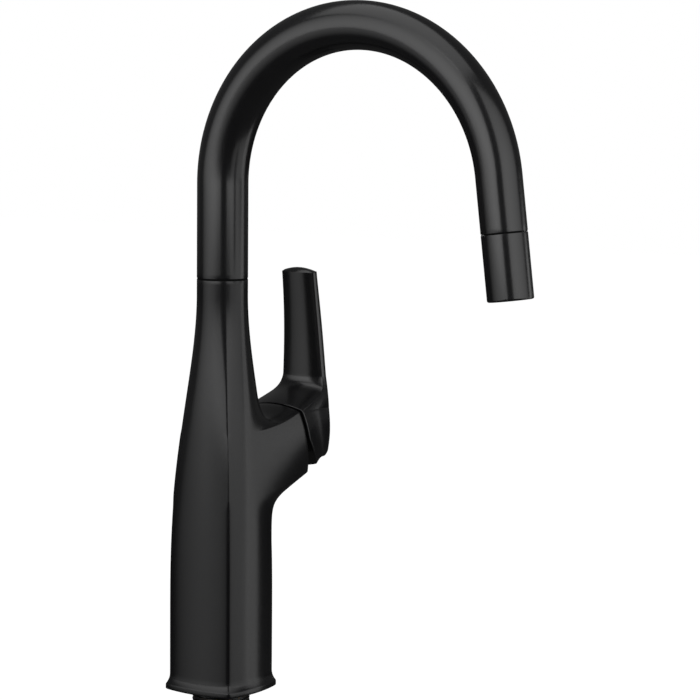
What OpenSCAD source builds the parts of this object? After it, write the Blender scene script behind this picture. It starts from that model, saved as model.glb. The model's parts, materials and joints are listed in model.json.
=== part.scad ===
// Pull-down bar faucet. Z points up from the deck, the spout points to -Y and the lever is at +X.
// The origin is the centre of the body's foot, on the deck. All sizes are in millimetres.

/* [Body] */
// Height of the body from the deck to the swivel seam
body_h = 228.6; // [215:0.5:245]
// Half the distance between the corner edges of the body at its foot
foot_half = 20.7; // [18.5:0.1:23]
// How far each side bows out between two corner edges at the foot
side_bow = 3.1; // [2.5:0.1:4.5]
// Height where the body starts to narrow
taper_start = 40; // [25:1:60]
// Height where the body has become the round neck
taper_end = 220; // [205:0.5:228]
// How late the narrowing sets in
taper_power = 1.5; // [1.2:0.05:1.8]
// Height of the straight lip of the foot flange
lip_h = 2.8; // [2:0.1:4]
// Height of the concave flare above the lip
flare_h = 6.4; // [4:0.1:9]
// How far the lip stands out beyond the body's side
flare_out = 1.7; // [1:0.1:3]
// Radius of the wide hollow in the foot
hollow_r = 17.2; // [16.8:0.1:18]
// Height of the top of the wide hollow
hollow_top = 92; // [70:1:96]

/* [Branch to the lever] */
// Upward tilt of the valve axis, in degrees
branch_tilt = 17; // [14:0.5:19]
// Distance from the body's axis to the middle of the branch's end
branch_x = 53.2; // [51:0.2:56]
// Height of the middle of the branch's end
branch_z = 133.5; // [131:0.5:136]
// Half the distance from the upper to the lower edge of the branch's end
branch_half_h = 18.5; // [18:0.1:19.5]
// Half the width of the branch's end at its upper edge
branch_top_w = 19.2; // [18:0.1:20]
// Half the width of the branch's end at its lower edge
branch_low_w = 17.5; // [16.5:0.1:19]
// Bow of the branch's sides
branch_side_bow = 2.7; // [2:0.1:3.5]
// Bow of the branch's top
branch_top_bow = 3.4; // [2.5:0.1:4.5]
// Bow of the branch's underside
branch_under_bow = 2.2; // [1:0.1:3]
// Height where the underside of the branch leaves the body
branch_low = 82; // [78:1:86]
// Height where the top of the branch has joined the neck
branch_high = 164; // [161:1:168]

/* [Spout] */
// Radius of the spout tube at the body
leg_r = 14.1; // [13.5:0.1:15]
// Radius of the spout tube at its end
spout_end_r = 12.2; // [11.8:0.05:12.5]
// Wall of the spout tube
spout_wall = 1.8; // [1.5:0.1:2]
// Height where the arch starts
arch_z = 281.4; // [270:1:300]
// Rise of the arch from its start to its top, on the tube's centre line
arch_rise = 86.4; // [80:0.5:95]
// Half span of the arch from the leg to its top, on the tube's centre line
arch_in = 87.85; // [80:0.5:95]
// Half span of the arch from its top to the outlet, on the tube's centre line
arch_out = 88.75; // [80:0.5:95]
// How far the arch stops short of a half turn, in degrees
arch_short = 7.2; // [5:0.1:10]
// Straight length after the arch
outlet_straight = 29; // [26:0.5:36]
// Width of the dark seam between the body and the spout
swivel_seam = 1.0; // [0.8:0.1:1.5]
// How far the dark rings in the two seams lie behind the surface
seam_recess = 0.2; // [0.15:0.05:0.6]

/* [Swivel] */
// Radius of the swivel sleeve inside the body
sleeve_r = 10.4; // [10:0.1:10.6]
// Bore radius of the swivel sleeve
sleeve_bore_r = 8.4; // [7.8:0.1:8.8]
// Depth of the swivel sleeve below the seam
sleeve_depth = 42; // [36:1:48]
// Height of each swivel bush
bush_h = 10; // [8:0.5:12]
// Radial running clearance in the bushes
bush_gap = 0.05; // [0.02:0.01:0.1]
// Wall of each swivel bush
bush_wall = 1.65; // [1.5:0.05:1.7]

/* [Spray head] */
// Radius of the spray head
head_r = 12.2; // [11.8:0.05:12.5]
// Length of the spray head below the seam
head_len = 35.3; // [32:0.5:42]
// Width of the dark seam above the spray head
head_seam = 0.8; // [0.6:0.1:1.2]
// Radius of the spigot that docks in the spout
spigot_r = 7.9; // [7.6:0.1:8.1]
// Length of the docking spigot
spigot_len = 13; // [10:0.5:15]
// Radial clearance of the docking spigot
dock_gap = 0.35; // [0.3:0.05:0.5]
// Length of the dock collar in the spout
collar_len = 16; // [14:0.5:18]
// Radius of the check valve
check_valve_r = 5; // [4.5:0.1:5.2]
// Radius of the aerator housing
aerator_r = 10.3; // [10:0.1:10.6]
// Height of the aerator housing
aerator_h = 13; // [11:0.5:15]

/* [Hose] */
// Radius of the spray hose
hose_r = 5; // [4.5:0.1:5.2]
// How far the hose reaches below the deck
hose_drop = 84; // [80:1:110]

/* [Lever] */
// Half the width of the blade at its top
blade_half_top = 10.9; // [9:0.1:12]
// Half the width of the blade at its root
blade_half_root = 13.7; // [12.5:0.1:14.5]
// Height of the blade's top
blade_top_z = 228; // [218:1:236]
// Distance from the body's axis to the inner edge of the blade's top
blade_top_x = 71.8; // [70:0.2:75]
// Thickness of the blade's edge at its top
blade_edge_top = 3.6; // [3:0.1:4.5]
// Thickness of the blade's edge at its root
blade_edge_root = 4.2; // [3.4:0.1:4.8]
// Bow of the blade's faces
blade_bow = 2.2; // [1.5:0.1:3]
// Height of the blade's root
blade_root_z = 168; // [166:0.5:172]
// Distance from the body's axis to the inner edge of the blade's root
blade_root_x = 77.4; // [76:0.2:79]
// Gap between the branch and the hub at its top
hub_gap = 2.6; // [2.2:0.1:3]
// Slope of the hub's face away from the branch, as a fraction
hub_face_slope = 0.35; // [0.33:0.01:0.38]
// Radius of the hollow in the hub
hub_hollow_r = 13.5; // [13:0.1:13.8]
// Depth of the hollow in the hub, from the branch's end
hub_hollow_u = 16; // [15:0.5:18]
// Radius of the socket post in the hub
post_r = 6.2; // [5.8:0.1:6.6]
// Radius of the set screw
set_screw_r = 2.5; // [2:0.1:2.6]

/* [Valve] */
// Radius of the valve housing
housing_r = 15; // [14.5:0.1:15.2]
// Length of the valve housing
housing_len = 36; // [34:0.5:38]
// Radius of the cartridge
cartridge_r = 12.6; // [12.2:0.1:12.8]
// Length of the cartridge body
cartridge_len = 22; // [20:0.5:22]
// Bore radius of the cartridge body
cartridge_bore_r = 11.2; // [11:0.1:11.4]
// Radius of the ports in the cartridge
port_r = 3.4; // [3:0.1:3.6]
// Distance from the branch's end back to the lever's tilt axis
pivot_depth = 4; // [3.6:0.1:4.4]
// Radius of the stem's pivot pin
pivot_r = 1.5; // [1.3:0.05:1.7]
// Thickness of the stem across its tilt axis
stem_t = 6.4; // [6:0.1:6.8]
// Width of the stem along its tilt axis
stem_w = 7; // [6.6:0.1:7.2]
// Reach of the stem in front of the branch's end
stem_reach = 15.4; // [14:0.1:15.8]

/* [Deck mounting] */
// Thickness of the deck that the nut clamps
deck_t = 20; // [5:1:35]
// Radius of the threaded shank
shank_r = 16; // [15.5:0.1:16.4]
// Bore radius of the shank
shank_bore_r = 12.5; // [12:0.1:13]
// Length of the shank below the deck
shank_len = 62; // [60:1:78]
// Depth of the shank's seat in the body
shank_seat = 16; // [12:1:20]
// Radius of the rubber deck washer
washer_r = 28; // [26:0.5:32]
// Thickness of the rubber deck washer
rubber_t = 3; // [2:0.5:4]
// Thickness of the steel deck washer
steel_t = 2; // [1.5:0.5:3]
// Radius of the mounting nut
nut_r = 26; // [25:0.5:28]
// Height of the mounting nut
nut_h = 10; // [8:0.5:12]
// Radius of the jack screws
jack_r = 3; // [2.5:0.1:3.2]
// Number of jack screws
jack_count = 3; // [2:1:3]

/* [Hidden] */

$fn = 48;
// Clearance between pieces that are screwed or pushed together
seat_gap = 0.05;
// Extra length of a cutting shape past the face that it cuts
over = 1;

neck_half = leg_r / sqrt(2);
body_bore_r = sleeve_r + bush_gap + bush_wall + seat_gap;
shoulder_z = body_h - sleeve_depth + 3;
shoulder_bore_r = body_bore_r - 0.6;
branch_bore_r = housing_r + 0.2;
branch_bore_len = 44;
leg_start_z = body_h + swivel_seam;
arch_drop = arch_rise * arch_out / arch_in;
outlet_lean = atan2(arch_out * sin(arch_short), arch_drop * cos(arch_short));
arch_end = [-arch_in - arch_out * cos(arch_short),
    arch_z + arch_rise - arch_drop * (1 - sin(arch_short))];
outlet = arch_end + outlet_straight * [-sin(outlet_lean), -cos(outlet_lean)];

// Value between a and b, where t runs from 0 to 1
function mix(a, b, t) = a + (b - a) * t;

// Smooth step from 0 to 1
function ease(t) = let (u = min(1, max(0, t))) u * u * (3 - 2 * u);

// Point on a cubic curve with four control points
function cubic(p, t) = pow(1 - t, 3) * p[0] + 3 * t * pow(1 - t, 2) * p[1]
    + 3 * t * t * (1 - t) * p[2] + pow(t, 3) * p[3];

// Height of an arc above its chord, 1 in the middle and 0 at both ends, for q from -1 to 1
function arc_rise(q, half, bow) = let (r = (half * half + bow * bow) / (2 * bow))
    (sqrt(r * r - q * q * half * half) - r + bow) / bow;

// Closed skin through rings of equal length. Each end is closed by strips from one side of the
// ring to the other.
module ring_skin(rings) {
    n = len(rings[0]);
    m = len(rings);
    points = [for (ring = rings) each ring];
    sides = [for (j = [0 : m - 2], i = [0 : n - 1]) let (k = (i + 1) % n)
        each [[j * n + i, (j + 1) * n + i, (j + 1) * n + k], [j * n + i, (j + 1) * n + k, j * n + k]]];
    ladder = [for (i = [0 : n / 2 - 1]) let (from = n - side_steps)
        [(from + i) % n, (from + i + 1) % n, (from - i - 1 + n) % n, (from - i + n) % n]];
    first = [for (p = ladder) each end_faces(p, p[0] == p[3], p[1] == p[2])];
    last = [for (p = first) (m - 1) * n * [1, 1, 1] + [p[0], p[2], p[1]]];
    polyhedron(points, concat(sides, first, last), convexity = 10);
}

// Triangles of one strip of an end. The first and last strip are single triangles.
function end_faces(p, starts, ends) = starts ? [[p[0], p[1], p[2]]]
    : ends ? [[p[0], p[1], p[3]]] : [[p[0], p[1], p[2]], [p[0], p[2], p[3]]];

// Closed skin of a hollow tube: the outer rings run one way and the inner rings back
module hollow_skin(rings) {
    n = len(rings[0]);
    m = len(rings);
    points = [for (ring = rings) each ring];
    sides = [for (j = [0 : m - 1], i = [0 : n - 1]) let (k = (i + 1) % n, l = (j + 1) % m)
        each [[j * n + i, l * n + i, l * n + k], [j * n + i, l * n + k, j * n + k]]];
    polyhedron(points, sides, convexity = 10);
}

// Ring of the bowed square loft. left and right are [x, z, half width in y, bow in x, bow in z] of
// the two faces, and middle is [x, z, half width] where the two side faces are widest.
side_steps = 5;
face_steps = 8;
function bowed_ring(left, middle, right, half, bow) = concat(
    face_points(left, 1, half, bow),
    side_points(left, middle, right, -1, half, bow),
    face_points(right, -1, half, bow),
    reversed(side_points(left, middle, right, 1, half, bow)));
function face_points(face, from, half, bow) = [for (i = [0 : face_steps - 1])
    let (q = from * (1 - 2 * i / face_steps), f = arc_rise(q, half, bow))
    [face[0] + face[3] * f, face[2] * q, face[1] + face[4] * f]];
function side_points(left, middle, right, y, half, bow) = [for (i = [0 : 2 * side_steps - 1])
    let (s = (y < 0 ? i : i + 1) / side_steps - 1, f = arc_rise(s, half, bow),
        face = s < 0 ? left : right, t = abs(s), w = mix(face[2], middle[2], f))
    [mix(middle[0], face[0], t), y * w, mix(middle[1], face[1], t * t)]];
function reversed(list) = [for (i = [len(list) - 1 : -1 : 0]) list[i]];

// How far the body has narrowed at a height, from 0 at the foot to 1 at the neck
function narrowing(z) = ease(pow(max(0, (z - taper_start) / (taper_end - taper_start)), taper_power));
function flare(z) = flare_out * pow(max(0, 1 - max(0, z - lip_h) / flare_h), 2.2);
function body_half(z) = mix(foot_half, neck_half, narrowing(z)) + flare(z);
function body_bow(z) = mix(side_bow, leg_r - neck_half, narrowing(z));

// Directions across the valve axis, up the branch's end, and along the axis, as [x, z]
across = [-sin(branch_tilt), cos(branch_tilt)];
along = [cos(branch_tilt), sin(branch_tilt)];
branch_end = [branch_x, branch_z];
rim_low = branch_end - branch_half_h * across;
rim_high = branch_end + branch_half_h * across;

// Rings of the body: up the foot, along the underside of the branch, up its end, back along
// its top and up the neck. Each entry is [height on the axis, right face].
underside = [[body_half(branch_low), branch_low], [body_half(branch_low), branch_low + 24.5],
    [body_half(branch_low) + 2.6, branch_low + 21.5], rim_low];
topside = [rim_high, rim_high - [7, 0.7], [body_half(branch_high) + 2.9, branch_high - 27],
    [body_half(branch_high), branch_high]];
rim_low_drop = 6.5;
rim_high_drop = 9;
foot_heights = concat([0, lip_h], [for (i = [1 : 5]) lip_h + flare_h * i / 5],
    [for (i = [1 : 6]) mix(lip_h + flare_h, branch_low, i / 7)]);
neck_heights = [for (i = [0 : 9]) mix(branch_high, body_h, i / 9)];
underside_steps = 10;
rim_steps = 6;
topside_steps = 10;

// Direction square to a cubic curve, on its right-hand side
function cubic_side(p, t) = let (d = pow(1 - t, 2) * (p[1] - p[0]) + 2 * t * (1 - t) * (p[2] - p[1])
    + t * t * (p[3] - p[2])) [d[1], -d[0]] / norm(d);

function rim_width(v) = mix(branch_low_w, branch_top_w, (v + 1) / 2) + branch_side_bow * (1 - v * v);
function plain_face(z) = [body_half(z), z, body_half(z), body_bow(z), 0];
function curve_face(p, t, w, bow) = let (q = cubic(p, t), side = bow * cubic_side(p, t))
    [q[0], q[1], w, side[0], side[1]];
function underside_face(t) = curve_face(underside, t, mix(body_half(branch_low), branch_low_w, ease(t)),
    mix(body_bow(branch_low), branch_under_bow, t));
function rim_face(t) = let (v = 2 * t - 1, p = branch_end + v * branch_half_h * across,
        lift = v < 0 ? v * branch_under_bow : v * branch_top_bow)
    [p[0], p[1], rim_width(v), lift * across[0], lift * across[1]];
function topside_face(t) = curve_face(topside, t,
    mix(branch_top_w, body_half(branch_high), t * t),
    mix(branch_top_bow, body_bow(branch_high), t));

function body_ring(z, face) = bowed_ring([-body_half(z), z, body_half(z), -body_bow(z), 0],
    [0, z, body_half(z) + body_bow(z)], face, body_half(z), body_bow(z));
function body_rings() = concat(
    [for (z = foot_heights) body_ring(z, plain_face(z))],
    [for (i = [0 : underside_steps - 1]) let (t = i / underside_steps, face = underside_face(t))
        body_ring(face[1] - rim_low_drop * t * t, face)],
    [for (i = [0 : rim_steps]) let (t = i / rim_steps, face = rim_face(t))
        body_ring(face[1] - mix(rim_low_drop, rim_high_drop, t), face)],
    [for (i = [1 : topside_steps - 1]) let (t = i / topside_steps, face = topside_face(t))
        body_ring(face[1] - rim_high_drop * pow(1 - t, 2.5), face)],
    [for (z = neck_heights) body_ring(z, plain_face(z))]);

// Puts children on the valve axis: their Z runs out along it from the middle of the branch's end
module on_valve_axis() {
    translate([branch_x, 0, branch_z])
        rotate([0, 90 - branch_tilt, 0])
            children();
}

// Ring between two heights and two radii, on Z
module ring_between(z1, z2, r_in, r_out) {
    rotate_extrude()
        polygon([[r_in, z1], [r_out, z1], [r_out, z2], [r_in, z2]]);
}

// Solid cylinder between two heights
module rod_between(z1, z2, r) {
    translate([0, 0, z1])
        cylinder(h = z2 - z1, r = r);
}

gasket_in_r = shank_r + 0.6;
gasket_out_r = foot_half - 0.6;
gasket_t = 2;

module body_shell() {
    color("#1b1b1c")
        difference() {
            ring_skin(body_rings());
            rod_between(shoulder_z, body_h + over, body_bore_r);
            rod_between(hollow_top, shoulder_z + over, shoulder_bore_r);
            rod_between(shank_seat, hollow_top + over / 10, hollow_r);
            rod_between(-over, shank_seat + over, shank_r + seat_gap);
            ring_between(-over, gasket_t + seat_gap, shank_r, gasket_out_r + seat_gap);
            on_valve_axis()
                rod_between(-branch_bore_len, over, branch_bore_r);
        }
}

module base_gasket() {
    color("#202020")
        ring_between(0, gasket_t, gasket_in_r, gasket_out_r);
}

// Threads are left plain, at their outer radius. The shank is coated with the body.
module mounting_shank() {
    color("#1b1b1c")
        ring_between(-shank_len, shank_seat - seat_gap, shank_bore_r, shank_r);
}

rubber_z = -deck_t - rubber_t;
steel_z = rubber_z - steel_t;
jack_stand = 3;
nut_z = steel_z - jack_stand - nut_h;
jack_head_h = 4;
jack_head_r = 4.6;
jack_ring_r = (nut_r + shank_r) / 2;
jack_screw_len = jack_stand + nut_h + 5;

module deck_rubber_washer() {
    color("#1a1a1a")
        ring_between(rubber_z, -deck_t, shank_r + 0.25, washer_r);
}

module deck_steel_washer() {
    color("#a9abad")
        ring_between(steel_z, rubber_z, shank_r + 0.25, washer_r - 1);
}

module mounting_nut() {
    color("#b08d4c")
        difference() {
            union() {
                rod_between(nut_z + 3, nut_z + nut_h, nut_r);
                translate([0, 0, nut_z])
                    cylinder(h = 3 + over, r = nut_r, $fn = 6);
            }
            rod_between(nut_z - over, nut_z + nut_h + over, shank_r + seat_gap);
            jack_places()
                rod_between(nut_z - over, nut_z + nut_h + over, jack_r + seat_gap);
        }
}

module jack_places() {
    for (i = [0 : jack_count - 1])
        rotate(360 / jack_count * i)
            translate([jack_ring_r, 0, 0])
                children();
}

module nut_jack_screws() {
    color("#8f9194")
        jack_places()
            difference() {
                union() {
                    rod_between(steel_z - jack_screw_len, steel_z, jack_r);
                    rod_between(steel_z - jack_screw_len - jack_head_h, steel_z - jack_screw_len,
                        jack_head_r);
                }
                translate([0, 0, steel_z - jack_screw_len - jack_head_h - over])
                    cylinder(h = 2.5 + over, r = 2.9, $fn = 6);
            }
}

module swivel_slip_ring() {
    color("#0c0c0c")
        ring_between(body_h, body_h + swivel_seam - bush_gap, sleeve_r + 0.3, leg_r - seam_recess);
}

module swivel_bush(z) {
    color("#d8d5c8")
        ring_between(z, z + bush_h, sleeve_r + bush_gap, body_bore_r - seat_gap);
}

module upper_swivel_bush() {
    swivel_bush(body_h - bush_h - 0.5);
}

module lower_swivel_bush() {
    swivel_bush(shoulder_z);
}

// Centre line of the spout from its foot to its end: [y, z, tangent y, tangent z, radius]
rise_steps = 16;
fall_steps = 14;
top_turn = 90;
arch_turn = 180 - arch_short;
function arch_point(a) = let (span = a < top_turn ? arch_in : arch_out,
        height = a < top_turn ? arch_rise : arch_drop, ty = -span * sin(a), tz = height * cos(a),
        length = norm([ty, tz]))
    [-arch_in + span * cos(a), arch_z + arch_rise - height * (1 - sin(a)), ty / length, tz / length,
        mix(leg_r, spout_end_r, ease(a / arch_turn))];
function outlet_point(w) = [outlet[0] - w * -sin(outlet_lean), outlet[1] - w * -cos(outlet_lean),
    -sin(outlet_lean), -cos(outlet_lean), spout_end_r];
arch_line = concat([for (i = [0 : rise_steps]) arch_point(top_turn * i / rise_steps)],
    [for (i = [1 : fall_steps]) arch_point(mix(top_turn, arch_turn, i / fall_steps))]);
function leg_point(z) = [0, z, 0, 1, leg_r];
spout_line = concat([leg_point(leg_start_z), leg_point((leg_start_z + arch_z) / 2)], arch_line,
    [outlet_point(outlet_straight / 2), outlet_point(0)]);

// Ring of a tube round one point of its centre line
function tube_ring(p, r, sides) = [for (i = [0 : sides - 1]) let (a = 360 * i / sides)
    [r * cos(a), p[0] + r * sin(a) * p[3], p[1] - r * sin(a) * p[2]]];

spout_sides = 28;

module spout_tube() {
    color("#1b1b1c")
        hollow_skin(concat([for (p = spout_line) tube_ring(p, p[4], spout_sides)],
            reversed([for (p = spout_line) tube_ring(p, p[4] - spout_wall, spout_sides)])));
}

// Inner radius of the spout's polygonal bore at its two ends, less a push fit
leg_bore_r = (leg_r - spout_wall) * cos(180 / spout_sides) - seat_gap;
end_bore_r = (spout_end_r - spout_wall) * cos(180 / spout_sides) - seat_gap;
sleeve_seat = 16;
clip_t = 1.2;
clip_z = shoulder_z - 0.3 - clip_t;
clip_groove_r = sleeve_r - 0.9;

module swivel_sleeve() {
    color("#b08d4c")
        difference() {
            union() {
                rod_between(body_h - sleeve_depth, leg_start_z + over, sleeve_r);
                rod_between(leg_start_z, leg_start_z + sleeve_seat, leg_bore_r);
            }
            rod_between(body_h - sleeve_depth - over, leg_start_z + sleeve_seat + over, sleeve_bore_r);
            ring_between(clip_z, clip_z + clip_t, clip_groove_r, sleeve_r + over);
        }
}

// Open ring that snaps into the groove of the sleeve, below the lower bush
module sleeve_retaining_ring() {
    color("#9a9c9f")
        difference() {
            ring_between(clip_z + seat_gap, clip_z + clip_t - seat_gap, clip_groove_r + seat_gap,
                shoulder_bore_r - 0.3);
            translate([0, -sleeve_r - 2, clip_z])
                cube([5, 6, 2 * clip_t], center = true);
        }
}

// Puts children on the outlet axis: their Z runs down along it from the spout's end
module on_outlet_axis() {
    translate([0, outlet[0], outlet[1]])
        rotate([180 - outlet_lean, 0, 0])
            children();
}

collar_bore_r = spigot_r + dock_gap;
collar_lip_r = spout_end_r - seam_recess;
collar_lip_t = 0.5;
magnet_h = 4;
magnet_z = -collar_len - magnet_h;

module dock_collar() {
    color("#0c0c0c")
        on_outlet_axis()
            rotate_extrude()
                polygon([[collar_bore_r, -collar_len], [end_bore_r, -collar_len],
                    [end_bore_r, seat_gap], [collar_lip_r, seat_gap], [collar_lip_r, collar_lip_t],
                    [collar_bore_r + 0.4, collar_lip_t], [collar_bore_r, 0.1]]);
}

module dock_magnet() {
    color("#55575a")
        on_outlet_axis()
            ring_between(magnet_z, -collar_len, collar_bore_r, end_bore_r - 0.3);
}

// The hose stops short of the fitting that is crimped on its end
fitting_hex_h = 8;
fitting_neck = 3;
ferrule_len = 16;
ferrule_end = -spigot_len - fitting_hex_h - fitting_neck;
ferrule_top = ferrule_end - ferrule_len;
hose_end_w = ferrule_top - 0.3;
hose_sides = 12;
hose_arch_points = [for (i = [0 : 26]) arch_point(arch_turn * 0.9 * i / 26)];
hose_line = concat([for (i = [0 : 9]) leg_point(mix(-hose_drop, arch_z - 9, i / 9))],
    hose_arch_points, [outlet_point(-hose_end_w)]);

module spray_hose() {
    color("#3a3c3f")
        ring_skin([for (p = hose_line) tube_ring(p, hose_r, hose_sides)]);
}

tail_r = hose_r + 1;
tail_plug_r = 4.5;
tail_plug_len = 9;
tail_len = 26;

module hose_tail_fitting() {
    color("#b08d4c")
        translate([0, 0, -hose_drop - tail_len])
            rotate_extrude()
                polygon([[1.8, 0], [tail_plug_r - 0.6, 0], [tail_plug_r, 0.6],
                    [tail_plug_r, tail_plug_len], [tail_plug_r - 0.8, tail_plug_len],
                    [tail_plug_r - 0.8, tail_plug_len + 1.6], [tail_r + 1, tail_plug_len + 1.6],
                    [tail_r + 1, tail_plug_len + 4.6], [tail_r, tail_plug_len + 4.6],
                    [tail_r, tail_len], [1.8, tail_len]]);
}

head_wall = 1.4;
head_hollow_start = 9;
head_hollow_r = 8.4;
head_round = 1.1;
spigot_bore_r = 5.6;
valve_seat_w = -1;
face_recess = 0.8;
dock_groove_z = -spigot_len + 3;
dock_groove_h = 3;
dock_groove_r = spigot_r - 1;

module spray_head_shell() {
    color("#1b1b1c")
        on_outlet_axis()
            difference() {
                rotate_extrude()
                    polygon(concat([[0, -spigot_len], [spigot_r - 0.8, -spigot_len],
                        [spigot_r, -spigot_len + 1.2], [spigot_r, head_seam],
                        [head_r - 0.3, head_seam], [head_r, head_seam + 0.3]],
                        [for (a = [0 : 15 : 90]) [head_r - head_round + head_round * cos(a),
                            head_len - head_round + head_round * sin(a)]], [[0, head_len]]));
                rod_between(aerator_start - seal_h, head_len + over, aerator_r + seat_gap);
                rod_between(head_hollow_start, head_len, head_hollow_r);
                rod_between(valve_seat_w, head_hollow_start + over, check_valve_r + seat_gap);
                rod_between(-spigot_len - over, valve_seat_w + over / 10, spigot_bore_r);
                ring_between(dock_groove_z, dock_groove_z + dock_groove_h, dock_groove_r,
                    spigot_r + over);
            }
}

module head_dock_ring() {
    color("#9a9c9f")
        on_outlet_axis()
            ring_between(dock_groove_z + 2 * seat_gap, dock_groove_z + dock_groove_h - 2 * seat_gap,
                dock_groove_r + seat_gap, spigot_r - seat_gap);
}

fitting_tail_r = spigot_bore_r - seat_gap;
fitting_hex_r = 7.4;
fitting_bore_r = 2.6;
fitting_gap = 0.3;
ferrule_r = hose_r + 0.9;
ferrule_lap = 3;
hose_seal_t = 0.85;
hose_seal_w = valve_seat_w - hose_seal_t;

module hose_end_fitting() {
    color("#b08d4c")
        on_outlet_axis()
            difference() {
                union() {
                    rod_between(ferrule_end - ferrule_lap, hose_seal_w - seat_gap, fitting_tail_r);
                    translate([0, 0, -spigot_len - fitting_hex_h])
                        cylinder(h = fitting_hex_h - fitting_gap, r = fitting_hex_r, $fn = 6);
                    rod_between(ferrule_top, ferrule_end, ferrule_r);
                }
                rod_between(ferrule_top - over, valve_seat_w, fitting_bore_r);
            }
}

module hose_seal() {
    color("#1a1a1a")
        on_outlet_axis()
            ring_between(hose_seal_w, valve_seat_w, 3, spigot_bore_r - seat_gap);
}

check_valve_len = 8;

module check_valve() {
    color("#e6e3da")
        on_outlet_axis()
            difference() {
                union() {
                    rod_between(valve_seat_w + seat_gap, valve_seat_w + check_valve_len, check_valve_r);
                    rod_between(valve_seat_w + check_valve_len, valve_seat_w + check_valve_len + 2,
                        check_valve_r - 1.5);
                }
                rod_between(valve_seat_w - over, valve_seat_w + 3, 3);
                for (i = [0 : 3])
                    rotate(90 * i)
                        translate([2.2, 0, valve_seat_w + 2])
                            cylinder(h = check_valve_len + over, r = 0.9, $fn = 8);
            }
}

aerator_end = head_len - face_recess;
aerator_start = aerator_end - aerator_h;
seal_h = 1.6;
screen_r = aerator_r - 1.9;
screen_t = 1.6;
screen_start = aerator_end - screen_t - 0.6;

// Threaded cup that carries the screen and regulates the stream
module aerator_housing() {
    color("#2a2b2d")
        on_outlet_axis()
            difference() {
                rod_between(aerator_start, aerator_end, aerator_r);
                rod_between(aerator_start + 3, aerator_end, screen_r - 0.9);
                rod_between(screen_start, aerator_end + over, screen_r + seat_gap);
                for (i = [0 : 7])
                    rotate(45 * i)
                        translate([5, 0, aerator_start - over])
                            cylinder(h = 5, r = 1.2, $fn = 10);
                for (i = [0 : 3])
                    rotate(90 * i)
                        translate([aerator_r, 0, aerator_end])
                            cube([2.4, 2.6, 1.6], center = true);
            }
}

// Honeycomb that straightens the stream
cell_pitch = 2.3;
cell_r = 1.05;
cell_rows = 3;

module aerator_screen() {
    color("#c9cac8")
        on_outlet_axis()
            translate([0, 0, screen_start])
                linear_extrude(screen_t)
                    difference() {
                        circle(r = screen_r);
                        for (q = [-cell_rows : cell_rows], s = [-cell_rows : cell_rows])
                            if (abs(q + s) <= cell_rows)
                                translate(cell_pitch * [q + s / 2, s * sqrt(3) / 2])
                                    rotate(30)
                                        circle(r = cell_r, $fn = 6);
                    }
}

module aerator_seal() {
    color("#1a1a1a")
        on_outlet_axis()
            ring_between(aerator_start - seal_h, aerator_start, aerator_r - 3.2, aerator_r - 0.1);
}

// Valve pieces. Their heights are distances out along the valve axis from the branch's end.
housing_end = -2;
housing_start = housing_end - housing_len;
housing_bore_r = cartridge_r + 0.3;
cartridge_end = -6;
cartridge_start = cartridge_end - cartridge_len;
seal_t = 1;
port_ring_r = 7.4;
port_floor = 3;

// The two inlets and the outlet, spread round the valve axis
module port_places() {
    for (a = [0, 125, 235])
        rotate(a + 180)
            translate([port_ring_r, 0, 0])
                children();
}

module valve_housing() {
    color("#b08d4c")
        on_valve_axis()
            difference() {
                rod_between(housing_start, housing_end, housing_r);
                rod_between(cartridge_start - seal_t, housing_end + over, housing_bore_r);
                port_places() {
                    rod_between(housing_start - over, cartridge_start, port_r);
                    rod_between(housing_start - over, housing_start + 6.5, port_r + 1);
                }
            }
}

module cartridge_seals() {
    color("#7a1f1f")
        on_valve_axis()
            port_places()
                ring_between(cartridge_start - seal_t, cartridge_start, port_r, port_r + 1.2);
}

module cartridge_body() {
    color("#e6e3da")
        on_valve_axis()
            difference() {
                rod_between(cartridge_start, cartridge_end, cartridge_r);
                rod_between(cartridge_start + port_floor, cartridge_end + over, cartridge_bore_r);
                port_places()
                    rod_between(cartridge_start - over, cartridge_start + port_floor + over, port_r);
            }
}

fixed_disc_t = 3.5;
fixed_disc_start = cartridge_start + port_floor;
moving_disc_t = 3.2;
moving_disc_start = fixed_disc_start + fixed_disc_t + 0.02;
carrier_start = moving_disc_start + moving_disc_t + 0.02;
carrier_shoulder = cartridge_end - 0.5;
carrier_end = -0.8;
carrier_gap = 0.1;
nut_bore_r = 9.2;
carrier_neck_r = nut_bore_r - 0.4;
slot_half = 7.6;

module fixed_ceramic_disc() {
    color("#f2f0ea")
        on_valve_axis()
            difference() {
                rod_between(fixed_disc_start, fixed_disc_start + fixed_disc_t, cartridge_bore_r - seat_gap);
                port_places()
                    rod_between(fixed_disc_start - over, fixed_disc_start + fixed_disc_t + over,
                        port_r - 0.6);
            }
}

module moving_ceramic_disc() {
    color("#e9e7e0")
        on_valve_axis()
            difference() {
                rod_between(moving_disc_start, moving_disc_start + moving_disc_t, cartridge_bore_r - 0.6);
                translate([0, 0, moving_disc_start - over])
                    cylinder(h = over + 1.4, r = 5.5, $fn = 8);
            }
}

// Turns with the lever and holds the stem's pivot pin between two cheeks
module stem_carrier() {
    color("#d8d5c8")
        on_valve_axis()
            difference() {
                union() {
                    rod_between(carrier_start, carrier_shoulder, cartridge_bore_r - carrier_gap);
                    rod_between(carrier_shoulder, carrier_end, carrier_neck_r);
                }
                translate([-slot_half, -stem_w / 2 - 0.3, carrier_start - over])
                    cube([2 * slot_half, stem_w + 0.6, carrier_end - carrier_start + 2 * over]);
                translate([0, 0, -pivot_depth])
                    rotate([90, 0, 0])
                        cylinder(h = 3 * carrier_neck_r, r = pivot_r + seat_gap, center = true);
            }
}

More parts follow.
